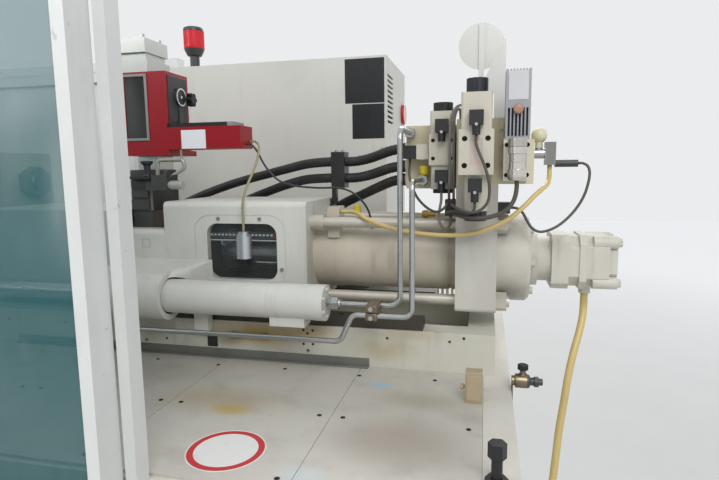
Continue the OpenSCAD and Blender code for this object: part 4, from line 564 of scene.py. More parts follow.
def dress_base():
    """Walls, deck sheets with their scuffs, rails, and the bed of the unit with its oil."""
    dress(paint("base_cream", CREAM, 0.48, 0.16, 0.10), "base_walls", "base_crossmembers", "side_panels")
    dress(metal("scuffed_deck", srgb(198, 195, 186), 0.45, (1.0, 6.0, 1.0), 0.4, shine=0.25, stains=[
        ((1085, -440, DECK_Z), (60, 34, 40), srgb(196, 166, 66), 0.75),
        ((1040, -400, DECK_Z), (190, 90, 40), srgb(170, 156, 116), 0.55),
        ((1410, -500, DECK_Z), (170, 120, 40), srgb(142, 124, 108), 0.5),
        ((1440, -330, DECK_Z), (120, 60, 40), srgb(150, 140, 116), 0.4),
        ((1341, -268, DECK_Z), (42, 24, 30), srgb(170, 200, 216), 0.9),
        ((1290, -620, DECK_Z), (60, 36, 30), srgb(196, 208, 210), 0.6),
        ((850, -300, DECK_Z), (200, 90, 40), srgb(160, 156, 142), 0.4)]), "deck_plates")
    lock_bolt = ((1555, -610, DECK_Z + 0.1), (1594, -570, 1055), srgb(52, 52, 54), 0.4, 0.6)
    dress(paint("rail_cream", CREAM, 0.48, 0.30, 0.15, zones=[lock_bolt]), "deck_frame")
    dress(paint("bed_cream", srgb(204, 202, 189), 0.42, 0.45, 0.2, stains=[
        ((1010, BED_Y, 1045), (190, 60, 42), srgb(158, 130, 66), 0.9),
        ((1330, BED_Y, 1030), (110, 60, 40), srgb(176, 158, 112), 0.6),
        ((760, BED_Y, 1040), (90, 60, 40), srgb(150, 142, 118), 0.5),
        ((940, BED_Y, 1030), (60, 60, 30), srgb(84, 66, 36), 0.7),
        ((1150, BED_Y, 1060), (90, 60, 30), srgb(168, 142, 84), 0.6),
        ((1380, BED_Y, 1066), (180, 60, 20), srgb(170, 150, 104), 0.5)]), "unit_bed")
    dress(metal("oiled_dark_steel", srgb(74, 70, 64), 0.42, (0.6, 4, 4), 0.45, shine=0.6),
          "guide_rails", "levelling_feet", "feed_throat", "throat_slide")
    dress(paint("tank_blue_grey", srgb(112, 124, 132), 0.45, 0.45, 0.2), "hydraulic_unit")
    dress(metal("plain_brass", srgb(168, 136, 82), 0.35), "water_valve")


def dress_unit():
    """Housing, cylinders, cross plate, motor and what turns or slides inside them."""
    # Painted shade: the two dark zones colour the inside of the window cavity and of the feed cavity as if
    # shade fell in them.
    window_cavity_shade = ((866, -112.5, 1147), (1078, 112.5, 1329), srgb(44, 45, 44), 0.5, 0.0)
    feed_cavity_shade = ((630, -120, 1130), (770, 120, 1180), srgb(70, 68, 62), 0.5, 0.0)
    dress(paint("housing_cream", srgb(212, 212, 204), 0.42, 0.30, 0.35, zones=[window_cavity_shade, feed_cavity_shade],
                stains=[((860, -130, 1120), (60, 50, 60), DUST, 0.5),
                        ((1139, -100, 1210), (10, 60, 120), OIL, 0.3)]), "feed_housing")
    dress(paint("cover_cream", srgb(200, 203, 198), 0.4, 0.2, 0.2), "barrel_cover")
    dress(paint("cylinder_cream", srgb(212, 212, 205), 0.38, 0.22, 0.2), "carriage_cylinders")
    dress(paint("plate_cream", srgb(202, 199, 189), 0.42, 0.35, 0.4), "rear_plate")
    dress(paint("hand_painted_cream", srgb(204, 201, 189), 0.5, 0.45, 0.9, chips=0.72, stains=[
        ((1600, -70, 1150), (60, 60, 60), DUST, 0.5),
        ((1760, -60, 1165), (80, 40, 30), OIL, 0.35)]), "bearing_housing", "screw_motor")
    dress(paint("cylinder_taupe", srgb(196, 188, 171), 0.36, 0.35, 0.3, stains=[
        ((1470, -80, 1220), (30, 60, 90), srgb(110, 100, 84), 0.5),
        ((1300, -80, 1150), (200, 60, 20), OIL, 0.3)]), "injection_cylinder")
    dress(metal("pale_rods", srgb(196, 190, 178), 0.4, (0.3, 6, 6), 0.35, shine=0.4), "cylinder_tie_rods")
    dress(metal("ground_steel", STEEL, 0.28, (0.4, 5, 5), 0.15),
          "tie_bars", "carriage_rods", "injection_piston", "plasticizing_screw", "ejector", "steel_pipes")
    dress(metal("barrel_steel", srgb(140, 132, 122), 0.4, (0.4, 5, 5), 0.5), "barrel")
    dress(metal("heater_bands", srgb(120, 112, 104), 0.42, (5, 0.5, 0.5), 0.5), "heater_bands")


def dress_clamp():
    """The three platens; the ram on the moving one is ground steel."""
    ram = ((-1790, -100, 1110), (-620, 100, 1330), STEEL, 0.2, 1.0)
    dress(paint("platen_cream", CREAM, 0.42, 0.3, 0.2), "fixed_platen")
    dress(paint("end_cream", CREAM, 0.42, 0.3, 0.2), "end_platen")
    dress(paint("moving_cream", CREAM, 0.42, 0.3, 0.2, zones=[ram]), "moving_platen")


def dress_separator():
    """Red separator with its dark lid and glazed side, its connector, and the plates above it."""
    lid = ((762, -98, 1544.5), (950, -32, 1556), BLACK, 0.5, 0.0)
    lid_end = ((930, -98, 1544.5), (950, -32, 1556), srgb(150, 152, 152), 0.4, 0.2)
    glazed_side = ((644.5, -95.5, 1494), (763.5, 1.5, 1680), srgb(120, 120, 118), 0.4, 0.2)
    dial_field = ((767.5, -90, 1560), (768.4, -4, 1676), srgb(60, 62, 64), 0.45, 0.0)
    dial_face = ((768.4, -101, 1556), (775.5, 8, 1690), srgb(60, 62, 64), 0.45, 0.0)
    dial_ring = ((775.5, -101, 1556), (778, 8, 1690), srgb(214, 214, 210), 0.45, 0.0)
    dress(paint("separator_red", srgb(150, 8, 25), 0.38, 0.0, 0.02, chips=0.92,
                zones=[lid, lid_end, glazed_side, dial_field, dial_face, dial_ring]), "separator_housing")
    dress(plastic("knob_black", srgb(24, 24, 25), 0.4, 200.0, 0.15), "separator_knob", "water_valve_knob")
    dress(metal("connector_silver", srgb(190, 194, 198), 0.32, (1, 1, 6), 0.15, shine=0.8), "lead_connector")
    dress(metal("milled_plate", srgb(188, 190, 186), 0.36, (4, 0.6, 4), 0.2, shine=0.8), "hopper_plates")
    dress(glazing("clear_pane", srgb(120, 126, 124), 0.10), "sight_windows")


def dress_valves():
    """Manifold, directional valves with ribbed knobs, and the proportional valve with its amplifier."""
    front_knobs = [((1500, -200, low), (1562, -140, high), srgb(30, 34, 44), 0.4, 0.0)
                   for low, high in ((1586.2, 1625), (1300, 1346))]
    rear_knobs = [((1428, -110, low), (1482, -50, high), BLACK, 0.4, 0.0)
                  for low, high in ((1561.2, 1590), (1370, 1388.5))]
    label = ((1518, -210.6, 1440), (1544, -208.8, 1494), srgb(196, 180, 172), 0.45, 0.2)
    # Painted shade: the recessed gap round the label is coloured near-black.
    label_gap_shade = ((1495, -208.7, 1425), (1567, -196, 1509), GAP_SHADE, 0.5, 0.4)
    dress(paint("manifold_cream", srgb(206, 198, 168), 0.4, 0.30, 0.15), "valve_manifold")
    dress(paint("valve_cream", srgb(206, 200, 184), 0.4, 0.25, 0.1,
                zones=[*front_knobs, *rear_knobs, label, label_gap_shade]), "control_valves")
    dress(plastic("plug_black", srgb(30, 30, 31), 0.42, 240.0, 0.2), "valve_plugs")
    amplifier = ((1586, -203, 1493.1), (1636, -145, 1628), srgb(150, 152, 156), 0.4, 0.7)
    # Painted shade: the space between the amplifier's fins is coloured dark.
    fin_gap_shade = ((1586, -201.5, 1497), (1636, -189, 1553), srgb(60, 61, 64), 0.5, 0.5)
    connector = ((1592, -237, 1403), (1630, -199, 1494), srgb(188, 184, 176), 0.28, 1.0)
    sensor_ball = ((1650, -78, 1486), (1690, -42, 1523), srgb(210, 206, 172), 0.4, 0.0)
    sensor_block = ((1676, -78, 1438), (1702, -42, 1492), srgb(128, 128, 124), 0.4, 0.3)
    sensor_plug = ((1700, -70, 1434), (1750, -50, 1453), srgb(58, 58, 58), 0.4, 0.0)
    sensor_neck = ((1649, -78, 1452), (1679, -42, 1478), STEEL, 0.3, 1.0)
    dress(paint("valve_block", srgb(206, 202, 186), 0.38, 0.25, 0.1, zones=[
        amplifier, fin_gap_shade, connector, sensor_ball, sensor_block, sensor_plug, sensor_neck]),
        "proportional_valve")
    dress(metal("sheet_aluminium", srgb(196, 196, 192), 0.42, (1, 1, 4), 0.12, shine=0.5), "indicator_disc")


def dress_guards():
    """Guard frames and doors, their panes, and the operator panel with its screen and stop button."""
    screen = ((-1146, -751, 1434), (-884, -748, 1616), srgb(20, 24, 28), 0.15, 0.0)
    dress(paint("guard_white", WHITE, 0.35, 0.10, 0.05, chips=0.68),
          "guard_frame", "nozzle_guard_frame", "mould_guard_frame", "rear_guard_door")
    dress(glazing("teal_pane", srgb(44, 104, 109), 0.50), "nozzle_guard_glass", "mould_guard_glass")
    dress(plastic("panel_grey", srgb(176, 178, 174), 0.45, 260.0, 0.1, zones=[screen]), "operator_panel")
    dress(plastic("stop_red", srgb(190, 24, 24), 0.3, 120.0, 0.05), "stop_button")


def dress_cabinet():
    """Cabinet shell with the switchgear in it, its door, and the lamp on its top."""
    back = ((375, 402, 1030), (1200, 405, 1740), STEEL, 0.4, 0.6)
    terminals = ((400, 405.5, 1090), (1110, 600, 1200), srgb(60, 60, 62), 0.5, 0.0)
    drives = ((400, 405.5, 1260), (1170, 600, 1440), srgb(150, 152, 150), 0.5, 0.0)
    contactors = ((400, 405.5, 1490), (1180, 600, 1700), srgb(88, 96, 100), 0.5, 0.0)
    white = srgb(207, 206, 199)
    dress(paint("cabinet_white", white, 0.42, 0.12, 0.05, chips=0.70), "cabinet_door")
    dress(paint("cabinet_shell", white, 0.42, 0.12, 0.05, chips=0.70,
                zones=[back, terminals, drives, contactors]), "control_cabinet")
    dress(plastic("lamp_grey", srgb(110, 110, 106), 0.45, 200.0, 0.1), "beacon_lamp")


# Repeated pieces


def grown(name, body, slot, material, places, tree, **sizes):
    """Sets a Geometry Nodes group's shape on every (place, facing) pair and keeps the plain mesh."""
    mesh = bpy.data.meshes.new(name)
    mesh.from_pydata([mm(*place) for place, _ in places], [], [])
    facing = mesh.attributes.new("facing", "FLOAT_VECTOR", "POINT")
    for entry, (_, out) in zip(facing.data, places):
        entry.vector = Vector(out).normalized()
    seedling = bpy.data.objects.new(name + "_points", mesh)
    bpy.context.scene.collection.objects.link(seedling)
    growth = seedling.modifiers.new("growth", "NODES")
    growth.node_group = tree
    sockets = {item.name: item for item in tree.interface.items_tree if item.in_out == "INPUT"}
    for label, value in sizes.items():
        growth[sockets[label].identifier] = value * MM
    for node in tree.nodes:
        if node.bl_idname == "GeometryNodeSetMaterial":
            node.inputs["Material"].default_value = material
    evaluated = seedling.evaluated_get(bpy.context.evaluated_depsgraph_get())
    grown_mesh = bpy.data.meshes.new_from_object(evaluated)
    grown_mesh.name = name
    bpy.data.objects.remove(seedling)
    set_out(name, body, grown_mesh)


def group(name, sizes):
    """Empty Geometry Nodes group with named sizes in metres and a seed."""
    tree = bpy.data.node_groups.new(name, "GeometryNodeTree")
    tree.interface.new_socket("Points", in_out="INPUT", socket_type="NodeSocketGeometry")
    for label, value in sizes.items():
        made = tree.interface.new_socket(label, in_out="INPUT", socket_type="NodeSocketFloat")
        made.default_value = value * MM
    made = tree.interface.new_socket("Seed", in_out="INPUT", socket_type="NodeSocketInt")
    made.default_value = 7
    tree.interface.new_socket("Shapes", in_out="OUTPUT", socket_type="NodeSocketGeometry")
    return tree, tree.nodes.new("NodeGroupInput"), tree.nodes.new("NodeGroupOutput")


def plant(tree, start, end, shape, spin_reach):
    """Instances a shape on the points, turned to their facing, each with its own chance turn."""
    nodes, link = tree.nodes, tree.links.new
    facing = nodes.new("GeometryNodeInputNamedAttribute")
    facing.data_type = "FLOAT_VECTOR"
    facing.inputs["Name"].default_value = "facing"
    align = nodes.new("FunctionNodeAlignRotationToVector")
    align.axis = "Z"
    link(facing.outputs["Attribute"], align.inputs["Vector"])
    chance = nodes.new("FunctionNodeRandomValue")
    chance.data_type = "FLOAT"
    chance.inputs[3].default_value = spin_reach
    link(start.outputs["Seed"], chance.inputs["Seed"])
    spin = nodes.new("FunctionNodeAxisAngleToRotation")
    link(chance.outputs[1], spin.inputs["Angle"])
    turn = nodes.new("FunctionNodeRotateRotation")
    turn.rotation_space = "LOCAL"
    link(align.outputs[0], turn.inputs[0])
    link(spin.outputs[0], turn.inputs[1])
    scatter = nodes.new("GeometryNodeInstanceOnPoints")
    link(start.outputs["Points"], scatter.inputs["Points"])
    link(shape, scatter.inputs["Instance"])
    link(turn.outputs[0], scatter.inputs["Rotation"])
    real = nodes.new("GeometryNodeRealizeInstances")
    link(scatter.outputs[0], real.inputs[0])
    finish = nodes.new("GeometryNodeSetMaterial")
    link(real.outputs[0], finish.inputs[0])
    link(finish.outputs[0], end.inputs[0])


def screw_group():
    """Socket-head screw: a cylinder whose top is inset and sunk."""
    tree, start, end = group("socket_screws", {"Radius": 5, "Height": 4, "Sink": 2.5})
    nodes, link = tree.nodes, tree.links.new
    head = nodes.new("GeometryNodeMeshCylinder")
    head.inputs["Vertices"].default_value = 18
    link(start.outputs["Radius"], head.inputs["Radius"])
    link(start.outputs["Height"], head.inputs["Depth"])
    inset = nodes.new("GeometryNodeExtrudeMesh")
    inset.inputs["Offset Scale"].default_value = 0.0
    link(head.outputs["Mesh"], inset.inputs["Mesh"])
    link(head.outputs["Top"], inset.inputs["Selection"])
    narrow = nodes.new("GeometryNodeScaleElements")
    narrow.inputs["Scale"].default_value = 0.55
    link(inset.outputs["Mesh"], narrow.inputs["Geometry"])
    link(inset.outputs["Top"], narrow.inputs["Selection"])
    depth = nodes.new("ShaderNodeMath")
    depth.operation = "MULTIPLY"
    depth.inputs[1].default_value = -1.0
    link(start.outputs["Sink"], depth.inputs[0])
    sink = nodes.new("GeometryNodeExtrudeMesh")
    link(narrow.outputs["Geometry"], sink.inputs["Mesh"])
    link(inset.outputs["Top"], sink.inputs["Selection"])
    link(depth.outputs[0], sink.inputs["Offset Scale"])
    plant(tree, start, end, sink.outputs["Mesh"], 1.05)
    return tree


def tick_group():
    """Small bar that lies across its facing."""
    tree, start, end = group("scale_ticks", {"Width": 3, "Length": 3, "Rise": 0.3})
    size = tree.nodes.new("ShaderNodeCombineXYZ")
    for index, label in enumerate(("Width", "Length", "Rise")):
        tree.links.new(start.outputs[label], size.inputs[index])
    bar = tree.nodes.new("GeometryNodeMeshCube")
    tree.links.new(size.outputs[0], bar.inputs["Size"])
    plant(tree, start, end, bar.outputs["Mesh"], 0.0)
    return tree


def rib_group():
    """Round rib that stands along its facing."""
    tree, start, end = group("round_ribs", {"Radius": 1.5, "Length": 40})
    rib = tree.nodes.new("GeometryNodeMeshCylinder")
    rib.inputs["Vertices"].default_value = 8
    tree.links.new(start.outputs["Radius"], rib.inputs["Radius"])
    tree.links.new(start.outputs["Length"], rib.inputs["Depth"])
    plant(tree, start, end, rib.outputs["Mesh"], 0.0)
    return tree


def ring_of(count, centre, radius):
    """Places of ribs on a level ring, in millimetres."""
    x, y, z = centre
    return [((x + radius * math.cos(turn), y + radius * math.sin(turn), z), UP) for turn in turns(count)]


def set_screws():
    """Screws that hold the covers, plugs, valves, panels and plates."""
    tree = screw_group()
    silver = metal("screw_silver", srgb(186, 188, 190), 0.28, dirt=0.2)
    black = metal("screw_black", srgb(44, 43, 42), 0.4, dirt=0.3, shine=0.6)

    def row(name, body, material, facing, radius, height, sink, places):
        slot = "bright_steel" if material is silver else "dark_steel"
        grown(name, body, slot, material, [(place, facing) for place in places], tree,
              Radius=radius, Height=height, Sink=sink)

    row("window_screws", "carriage", silver, FRONT, 4.5, 4, 2, [
        (x, -131, z) for x, z in ((913, 1319), (1022, 1319), (861, 1195), (1076, 1197))])
    row("plug_screws", "carriage", silver, FRONT, 3.2, 2, 0.8, [
        (1531, -229.5, 1521), (1530, -223.5, 1386), (1455, -131.5, 1514), (1455, -129.5, 1404)])
    row("clamp_block_screws", "carriage", silver, UP, 5.5, 6, 3, [(x, 100, 1484.5) for x in (1153, 1172)])
    row("pipe_clamp_screws", "carriage", silver, FRONT, 4.8, 5, 2.5, [(1322, -264, z) for z in (1126, 1145)])
    valves = ((1531, -200, 1467, 23, 27), (1455, -103, 1477, 20, 20), (1611, -190, 1450, 20, 30))
    row("valve_screws", "carriage", black, FRONT, 4, 5, 3, [
        (x + a * half_x, y, z + b * half_z)
        for x, y, z, half_x, half_z in valves for a in (-1, 1) for b in (-1, 1)])
    row("cylinder_cap_screws", "carriage", black, REAR_END, 3.4, 2, 1, [
        (1212.4, s * CYLINDER_Y + 29 * math.cos(turn), CYLINDER_Z + 29 * math.sin(turn))
        for s in (1, -1) for turn in (0.5, 1.55, 2.6, 3.65, 4.7, 5.75)])
    along_bed = [(x, -222 - 6 * (i % 2), DECK_Z + 0.2)
                 for i, x in enumerate((450, 618, 785, 948, 1112, 1288, 1453, 1530))]
    beside_seams = [(x, y, DECK_Z + 0.2) for ys in ((-640, -430), (230, 330))
                    for x in (312, 598, 643, 929, 974, 1259, 1304, 1530) for y in ys]
    row("deck_screws", "base", black, UP, 4.5, 1, 0.7, along_bed + beside_seams)
    row("bed_screws", "base", black, FRONT, 3, 1, 0.6, [
        (x, BED_Y - 0.2, z) for x, z in ((1140, 1062), (1140, 1028), (1163, 1062), (1163, 1029),
                                         (778, 1020), (1511, 1064), (480, 1045), (300, 1045))])
    panel_pitch = 548.33
    row("panel_screws", "base", silver, FRONT, 4, 1.6, 0.8, [
        (-1740 + (i + 0.5) * panel_pitch + a * 178, -678.5, 485 + b * 213)
        for i in range(6) for a in (-1, 1) for b in (-1, 1)])
    row("cabinet_screws", "base", silver, FRONT, 4, 1.4, 0.7, [
        (x, CABINET_Y - 0.4, z) for x in (345, 1228) for z in (1010, 1250, 1500)])


def set_scale():
    """Stroke scale behind the window: a dark strip with plain ticks, and the light rulers under it."""
    y = -110
    strip = plastic("scale_black", srgb(52, 58, 62), 0.4, zones=[
        ((867, y - 1, 1261), (1061, y + 4, 1266), srgb(190, 196, 200), 0.4, 0.0),
        ((999, y - 1, 1207), (1061, y + 4, 1212), srgb(150, 156, 160), 0.4, 0.0),
        ((1050, y - 1, 1267), (1077, y + 4, 1285), srgb(150, 40, 44), 0.4, 0.0)])
    piece("scale_strips", "carriage", strip, solid([
        ((868, y, 1268), (1076, y + 2, 1284)),
        ((868, y, 1262), (1060, y + 3, 1265)),
        ((1000, y, 1208), (1060, y + 3, 1211))]), bevel=0.3)
    tick_pitch = 10
    grown("scale_ticks", "carriage", "white_paint", plastic("tick_pale", srgb(206, 210, 210), 0.45), [
        ((873 + tick_pitch * i, y - 0.3, 1277), FRONT) for i in range(18)], tick_group(),
        Width=5.6, Length=4.2, Rise=0.4)


# Pieces


def make_beacon():
    """Red ribbed dome on a dark cone."""
    x, y, z = 560, 420, side("control_cabinet", "z")
    dome_red = ((x - 40, y - 40, z + 66.1), (x + 40, y + 40, z + 124.1), srgb(214, 22, 40), 0.18, 0.0)
    shell = plastic("beacon_plastic", srgb(58, 60, 62), 0.42, 200.0, 0.15, zones=[dome_red])
    cone = [(0, 31), (4, 31), (6, 16), (42, 16), (44, 24), (62, 33), (66, 33.5)]
    dome = [(66.2, 34), (68, 35), (74, 35), (74.5, 33.6), (124, 33.6)]
    lid = [(124.2, 34.5), (132, 34.5), (136, 32), (137.5, 28)]
    piece("beacon", "base", shell, solid(turned=[
        ((x, y, z), UP, profile, sides) for profile, sides in ((cone, 48), (dome, 96), (lid, 48))]),
        replaces=("beacon_lamp",))
    grown("beacon_ribs", "base", "beacon_red", shell, ring_of(36, (x, y, z + 99), 33), rib_group(),
          Radius=1.6, Length=48)


def make_throat():
    """Dark feed throat with its ribbed side, cooling block, tube loop and pale upper block."""
    iron = metal("throat_dark", srgb(80, 80, 79), 0.45, dirt=0.6, shine=0.35, zones=[
        ((638, -46, 1440.5), (700, 36, 1478), srgb(206, 208, 206), 0.25, 1.0),
        ((702.6, -97, 1335), (709, -88, 1430), srgb(122, 120, 112), 0.5, 0.2),
        ((729, -114, 1426.5), (823, -102, 1471.4), srgb(166, 166, 158), 0.35, 0.4),
        ((800, -114, 1471.5), (815, -102, 1491), srgb(138, 132, 104), 0.4, 0.1),
        ((770.5, -121, 1388), (812, -95, 1414), srgb(168, 170, 164), 0.4, 0.1),
        ((704, -96, 1289), (738, 36, 1335), srgb(66, 56, 44), 0.55, 0.1)])
    ribs = [((650, -96, z), (699, -90, z + 17)) for z in (1368, 1394, 1420)]
    bm = solid([
        ((648, -92, 1332), (703, 35, 1440)), ((648, -95, 1337), (699, -90, 1363)), *ribs,
        ((703, -92, 1332), (708, 33, 1428)), ((648, -90, 1290.2), (736, 35, 1334)),
        ((640, -45, 1439), (696, 35, 1475.8)), ((702, -110, 1388), (729, -84, 1412)),
        ((728, -122, 1388), (770, -94, 1426)), ((731, -123, 1396), (760, -121, 1420))], [
        ((769, -108, 1401), REAR_END, [(0, 9), (6, 9), (7, 11), (38, 11), (40, 9.5)], 24),
        ((762, -114, 1425), UP, [(0, 3.5), (9, 3.5), (9.5, 6), (15, 6), (16, 5)], 18),
        ((808, -108, 1465), UP, [(0, 4), (6, 4), (6.5, 3), (24, 3)], 14),
        ((674, -16, 1290.3), UP, [(0, 17), (3, 17), (5, 15)], 24)])
    tube_bend, tube_radius = 11, 0.005
    loop = [(738, -108, 1424), (741, -108, 1464), (813, -108, 1464), (816, -108, 1443), (764, -108, 1415)]
    sweep(bm, rounded_route(loop, tube_bend, 10), tube_radius, 14)
    piece("throat_casting", "carriage", iron, bm, bevel=1.2, replaces=("feed_throat",))


def make_slide():
    """Shut-off slide under the separator with its T knob."""
    knob = [(0, 11), (2, 11), (4, 8.5), (28, 8.5), (31, 13.5), (34, 15), (38, 15), (39, 13)]
    piece("slide_and_knob", "throat_slide",
          plastic("knob_iron", srgb(40, 42, 43), 0.45, 160.0, 0.2),
          solid([((654, -121, 1416.4), (698, 22, 1423.6)), ((697, -121, 1416.4), (724, -99, 1423.6))],
                [((712, -112, 1423), UP, knob, 28)]), bevel=0.6, replaces=("throat_slide",))


def make_water_valve():
    """Small brass shut-off valve on the end rail, its ribbed knob, and the drain hose's return port."""
    rail = side("deck_frame", "x")
    y, z = -235, 1003
    port_y, port_z = -134, 608
    nickel = metal("valve_nickel", srgb(132, 122, 102), 0.32, dirt=0.3, zones=[
        ((1640, y - 15, z - 12), (1672, y + 15, z + 12), srgb(70, 70, 70), 0.4, 0.2)])
    port = [((x, port_y, port_z), REAR_END, [(0, r - 1), (1, r), (6, r), (6.5, r - 1)], 24)
            for x, r in ((rail, 13), (rail + 6, 12))]
    bm = solid([((rail, y - 11, 960), (rail + 3, y + 11, 994))], [
        ((rail, y, z), REAR_END, [(0, 10), (6, 10), (7, 14), (11, 14.5), (30, 14.5), (35, 13), (37, 8),
                                    (43, 8), (44, 10), (51, 10), (52, 7), (60, 7), (61, 6)], 24),
        ((rail + 22, y, z), UP, [(0, 9), (15, 9), (16, 6), (23, 6)], 20), *port])
    hexagon(bm, (rail + 44, y, z), REAR_END, 20, 9)
    piece("water_valve_body", "base", nickel, bm, bevel=0.4, replaces=("water_valve",))
    black = plastic("water_knob", BLACK, 0.4)
    piece("water_knob", "water_valve_knob", black, solid(turned=[
        ((rail + 22, y, z + 23.5), UP, [(0, 7), (1, 9), (10, 9.5), (12, 8), (12.5, 5)], 24)]),
        replaces=("water_valve_knob",))
    grown("water_knob_ribs", "water_valve_knob", "black_plastic", black,
          ring_of(12, (rail + 22, y, z + 29.5), 9.3), rib_group(), Radius=1.3, Length=10)


def make_pipes():
    """Two bent pipes from the carriage cylinder to the manifold, their nuts and the double clamp."""
    y, z = CYLINDER_Y, CYLINDER_Z
    back_x, front_x = 1377, 1407
    low_y, low_z, clamp_z = -251, 1067, 1128
    pipe_radius = 0.0059
    upper = [(1238, y, z), (back_x, y, z), (back_x, y, 1518), (back_x, -46, 1518)]
    lower = [(720, low_y, 1084), (720, low_y, low_z), (1252, low_y, low_z), (1279, low_y, clamp_z),
             (front_x, low_y, clamp_z), (front_x, low_y, 1408), (front_x, -46, 1408)]
    bm = solid(turned=[((1241, y, z), REAR_END, [(0, 9.5), (4, 9), (6, 7)], 24)])
    for route, bend in ((upper, 26), (lower, 19)):
        sweep(bm, rounded_route(route, bend, 9), pipe_radius, 14)
    hexagon(bm, (1212, y, z), REAR_END, 19, 12)
    hexagon(bm, (1223, y, z), REAR_END, 26, 18)
    hexagon(bm, (720, low_y, 1084), (0, 0, -1), 22, 12)
    for nut_x, nut_y, nut_z in ((back_x, -66, 1518), (front_x, -66, 1408)):
        hexagon(bm, (nut_x, nut_y, nut_z), (0, 1, 0), 24, 15)
        hexagon(bm, (nut_x, nut_y + 15, nut_z), (0, 1, 0), 19, 6)
    piece("bent_pipes", "carriage",
          metal("pipe_zinc", srgb(176, 178, 178), 0.22, dirt=0.30, skin=0.015), bm, replaces=("steel_pipes",))
    halves = [((1309, -261, low), (1335, -205, high)) for low, high in ((1118, 1134.6), (1135.2, 1152))]
    piece("pipe_clamp", "carriage",
          metal("clamp_bronze", srgb(118, 108, 88), 0.5, dirt=0.5, shine=0.45), solid(halves), bevel=3.0)


def trim_paint(name, tone, rough, grime=0.1, brush=0.05, zones=()):
    """Paint or print of a small trim piece, with hardly a chip."""
    return paint(name, tone, rough, grime, brush, zones=zones, chips=0.9)


def frame_of(x0, x1, z0, z1, y0, y1, width, lap=0):
    """Four boxes of an upright frame, whose posts lap into its rails."""
    low, high = z0 + width - lap, z1 - width + lap
    return [((x0, y0, z0), (x1, y1, z0 + width)), ((x0, y0, z1 - width), (x1, y1, z1)),
            ((x0, y0, low), (x0 + width, y1, high)), ((x1 - width, y0, low), (x1, y1, high))]


def make_labels():
    """Plain labels on the separator's bar and the amplifier, and the thin frame on the housing's shelf."""
    y = SEPARATOR_Y
    piece("bar_label", "carriage",
          trim_paint("label_white", srgb(236, 236, 240), 0.5, 0.04, 0.02),
          solid([((806, y - 0.7, 1491), (873, y - 0.1, 1537))]), bevel=0.2)
    piece("amplifier_label", "carriage", trim_paint("label_grey", srgb(198, 198, 200), 0.45),
          solid([((1592, -203, 1568), (1630, -202.1, 1624))]), bevel=0.3)
    piece("housing_frame", "carriage", trim_paint("frame_grey", srgb(182, 184, 178), 0.5),
          solid(frame_of(697, 720, 1243, 1266, -130.6, -130.1, 2)))


def make_cabinet_plates():
    """Two black plates on the cabinet's front."""
    y0, y1 = CABINET_Y - 1.1, CABINET_Y - 0.1
    piece("cabinet_plates", "base",
          paint("plate_black", srgb(24, 25, 27), 0.32, 0.1, 0.05, chips=0.72),
          solid([((1110, y0, 1643), (1237, y1, 1780)), ((1133, y0, 1532), (1237, y1, 1640))]), bevel=0.4)


def make_amplifier_cap():
    """Rose-coloured cap on the amplifier's face."""
    piece("amplifier_cap", "carriage", plastic("cap_rose", srgb(168, 124, 104), 0.35),
          solid(turned=[((1611, -203, 1549), FRONT, [(0, 6), (3, 9), (7, 10), (11, 8), (12, 5)], 28)]))


def make_red_tag():
    """Round red tag with a pale face on the cabinet's end."""
    x = side("control_cabinet", "x")
    face = ((x + 11.6, 640, 1590), (x + 13, 760, 1680), srgb(214, 196, 190), 0.4, 0.0)
    piece("cabinet_red_tag", "base",
          trim_paint("tag_red", srgb(186, 24, 36), 0.35, 0.05, zones=[face]),
          solid(turned=[((x + 0.2, 700, 1636), REAR_END, [(0, 34), (3, 37), (9, 37), (12, 34)], 36)]))


def make_fittings():
    """Yellow caps, the ridged connector of the proportional valve, and the wrapped hoses' ferrules."""
    brass_plug = ((1406, -95, 1318), (1440, -65, 1342), srgb(148, 122, 50), 0.4, 0.4)
    caps = [(base, UP, [(0, r * 0.7), (3, r * 0.7), (4, r), (20, r), (22, r * 0.8)], 20)
            for base, r in (((1411, -70, 1420), 11), ((1243, -40, 1326), 10))]
    piece("yellow_caps", "carriage",
          plastic("cap_yellow", srgb(206, 186, 44), 0.4, zones=[brass_plug]), solid(turned=[
              *caps, ((1408, -80, 1330), REAR_END, [(0, 7), (6, 9), (14, 9), (15, 6), (30, 6)], 20)]))
    barrel = [(0, 9), (2, 12), (7, 15.4), (8, 18.2), (22, 18.2), (23, 16.4), (36, 16.4), (37, 15.4),
              (52, 15.4), (53, 18.2), (66, 18.2), (67, 16.4), (82, 16.4), (84, 14)]
    piece("connector_barrel", "carriage",
          metal("barrel_nickel", srgb(212, 208, 200), 0.2, dirt=0.25, skin=0.02),
          solid(turned=[((1611, -218, 1409), UP, barrel, 40)]))
    ferrule = [(0, 14.2), (2, 15.6), (14, 15.6), (15, 14.4), (17, 15.8), (28.5, 15.8)]
    piece("hose_ferrules", "carriage",
          metal("ferrule_dark", srgb(48, 47, 46), 0.42, shine=0.6, dirt=0.3),
          solid(turned=[((1337, 45, z), REAR_END, ferrule, 28) for z in (1486, 1442, 1408)]))


def make_sign():
    """Worn white disc with a plain red ring, glued to the deck."""
    x, y = 1147, -580
    shade = Shade("sign_ring")
    reach = shade.vector("LENGTH", shade.vector("SUBTRACT", shade.place, mm(x, y, DECK_Z)), (0, 0, 0), 1)
    inner, outer = 0.052, 0.0625
    ring = reach.above(inner) * (1 - reach.above(outer))
    worn = shade.noise(30.0, 4.0)
    colour = shade.blend(srgb(222, 222, 218), DUST, worn.step(0.5, 0.9) * 0.4)
    shade.set(Base_Color=shade.blend(colour, srgb(186, 40, 46), ring), Roughness=worn * 0.2 + 0.4)
    piece("deck_sign", "base", shade.material, solid(turned=[
        ((x, y, DECK_Z + 0.1), UP, [(0, 65), (0.5, 65)], 64)]))


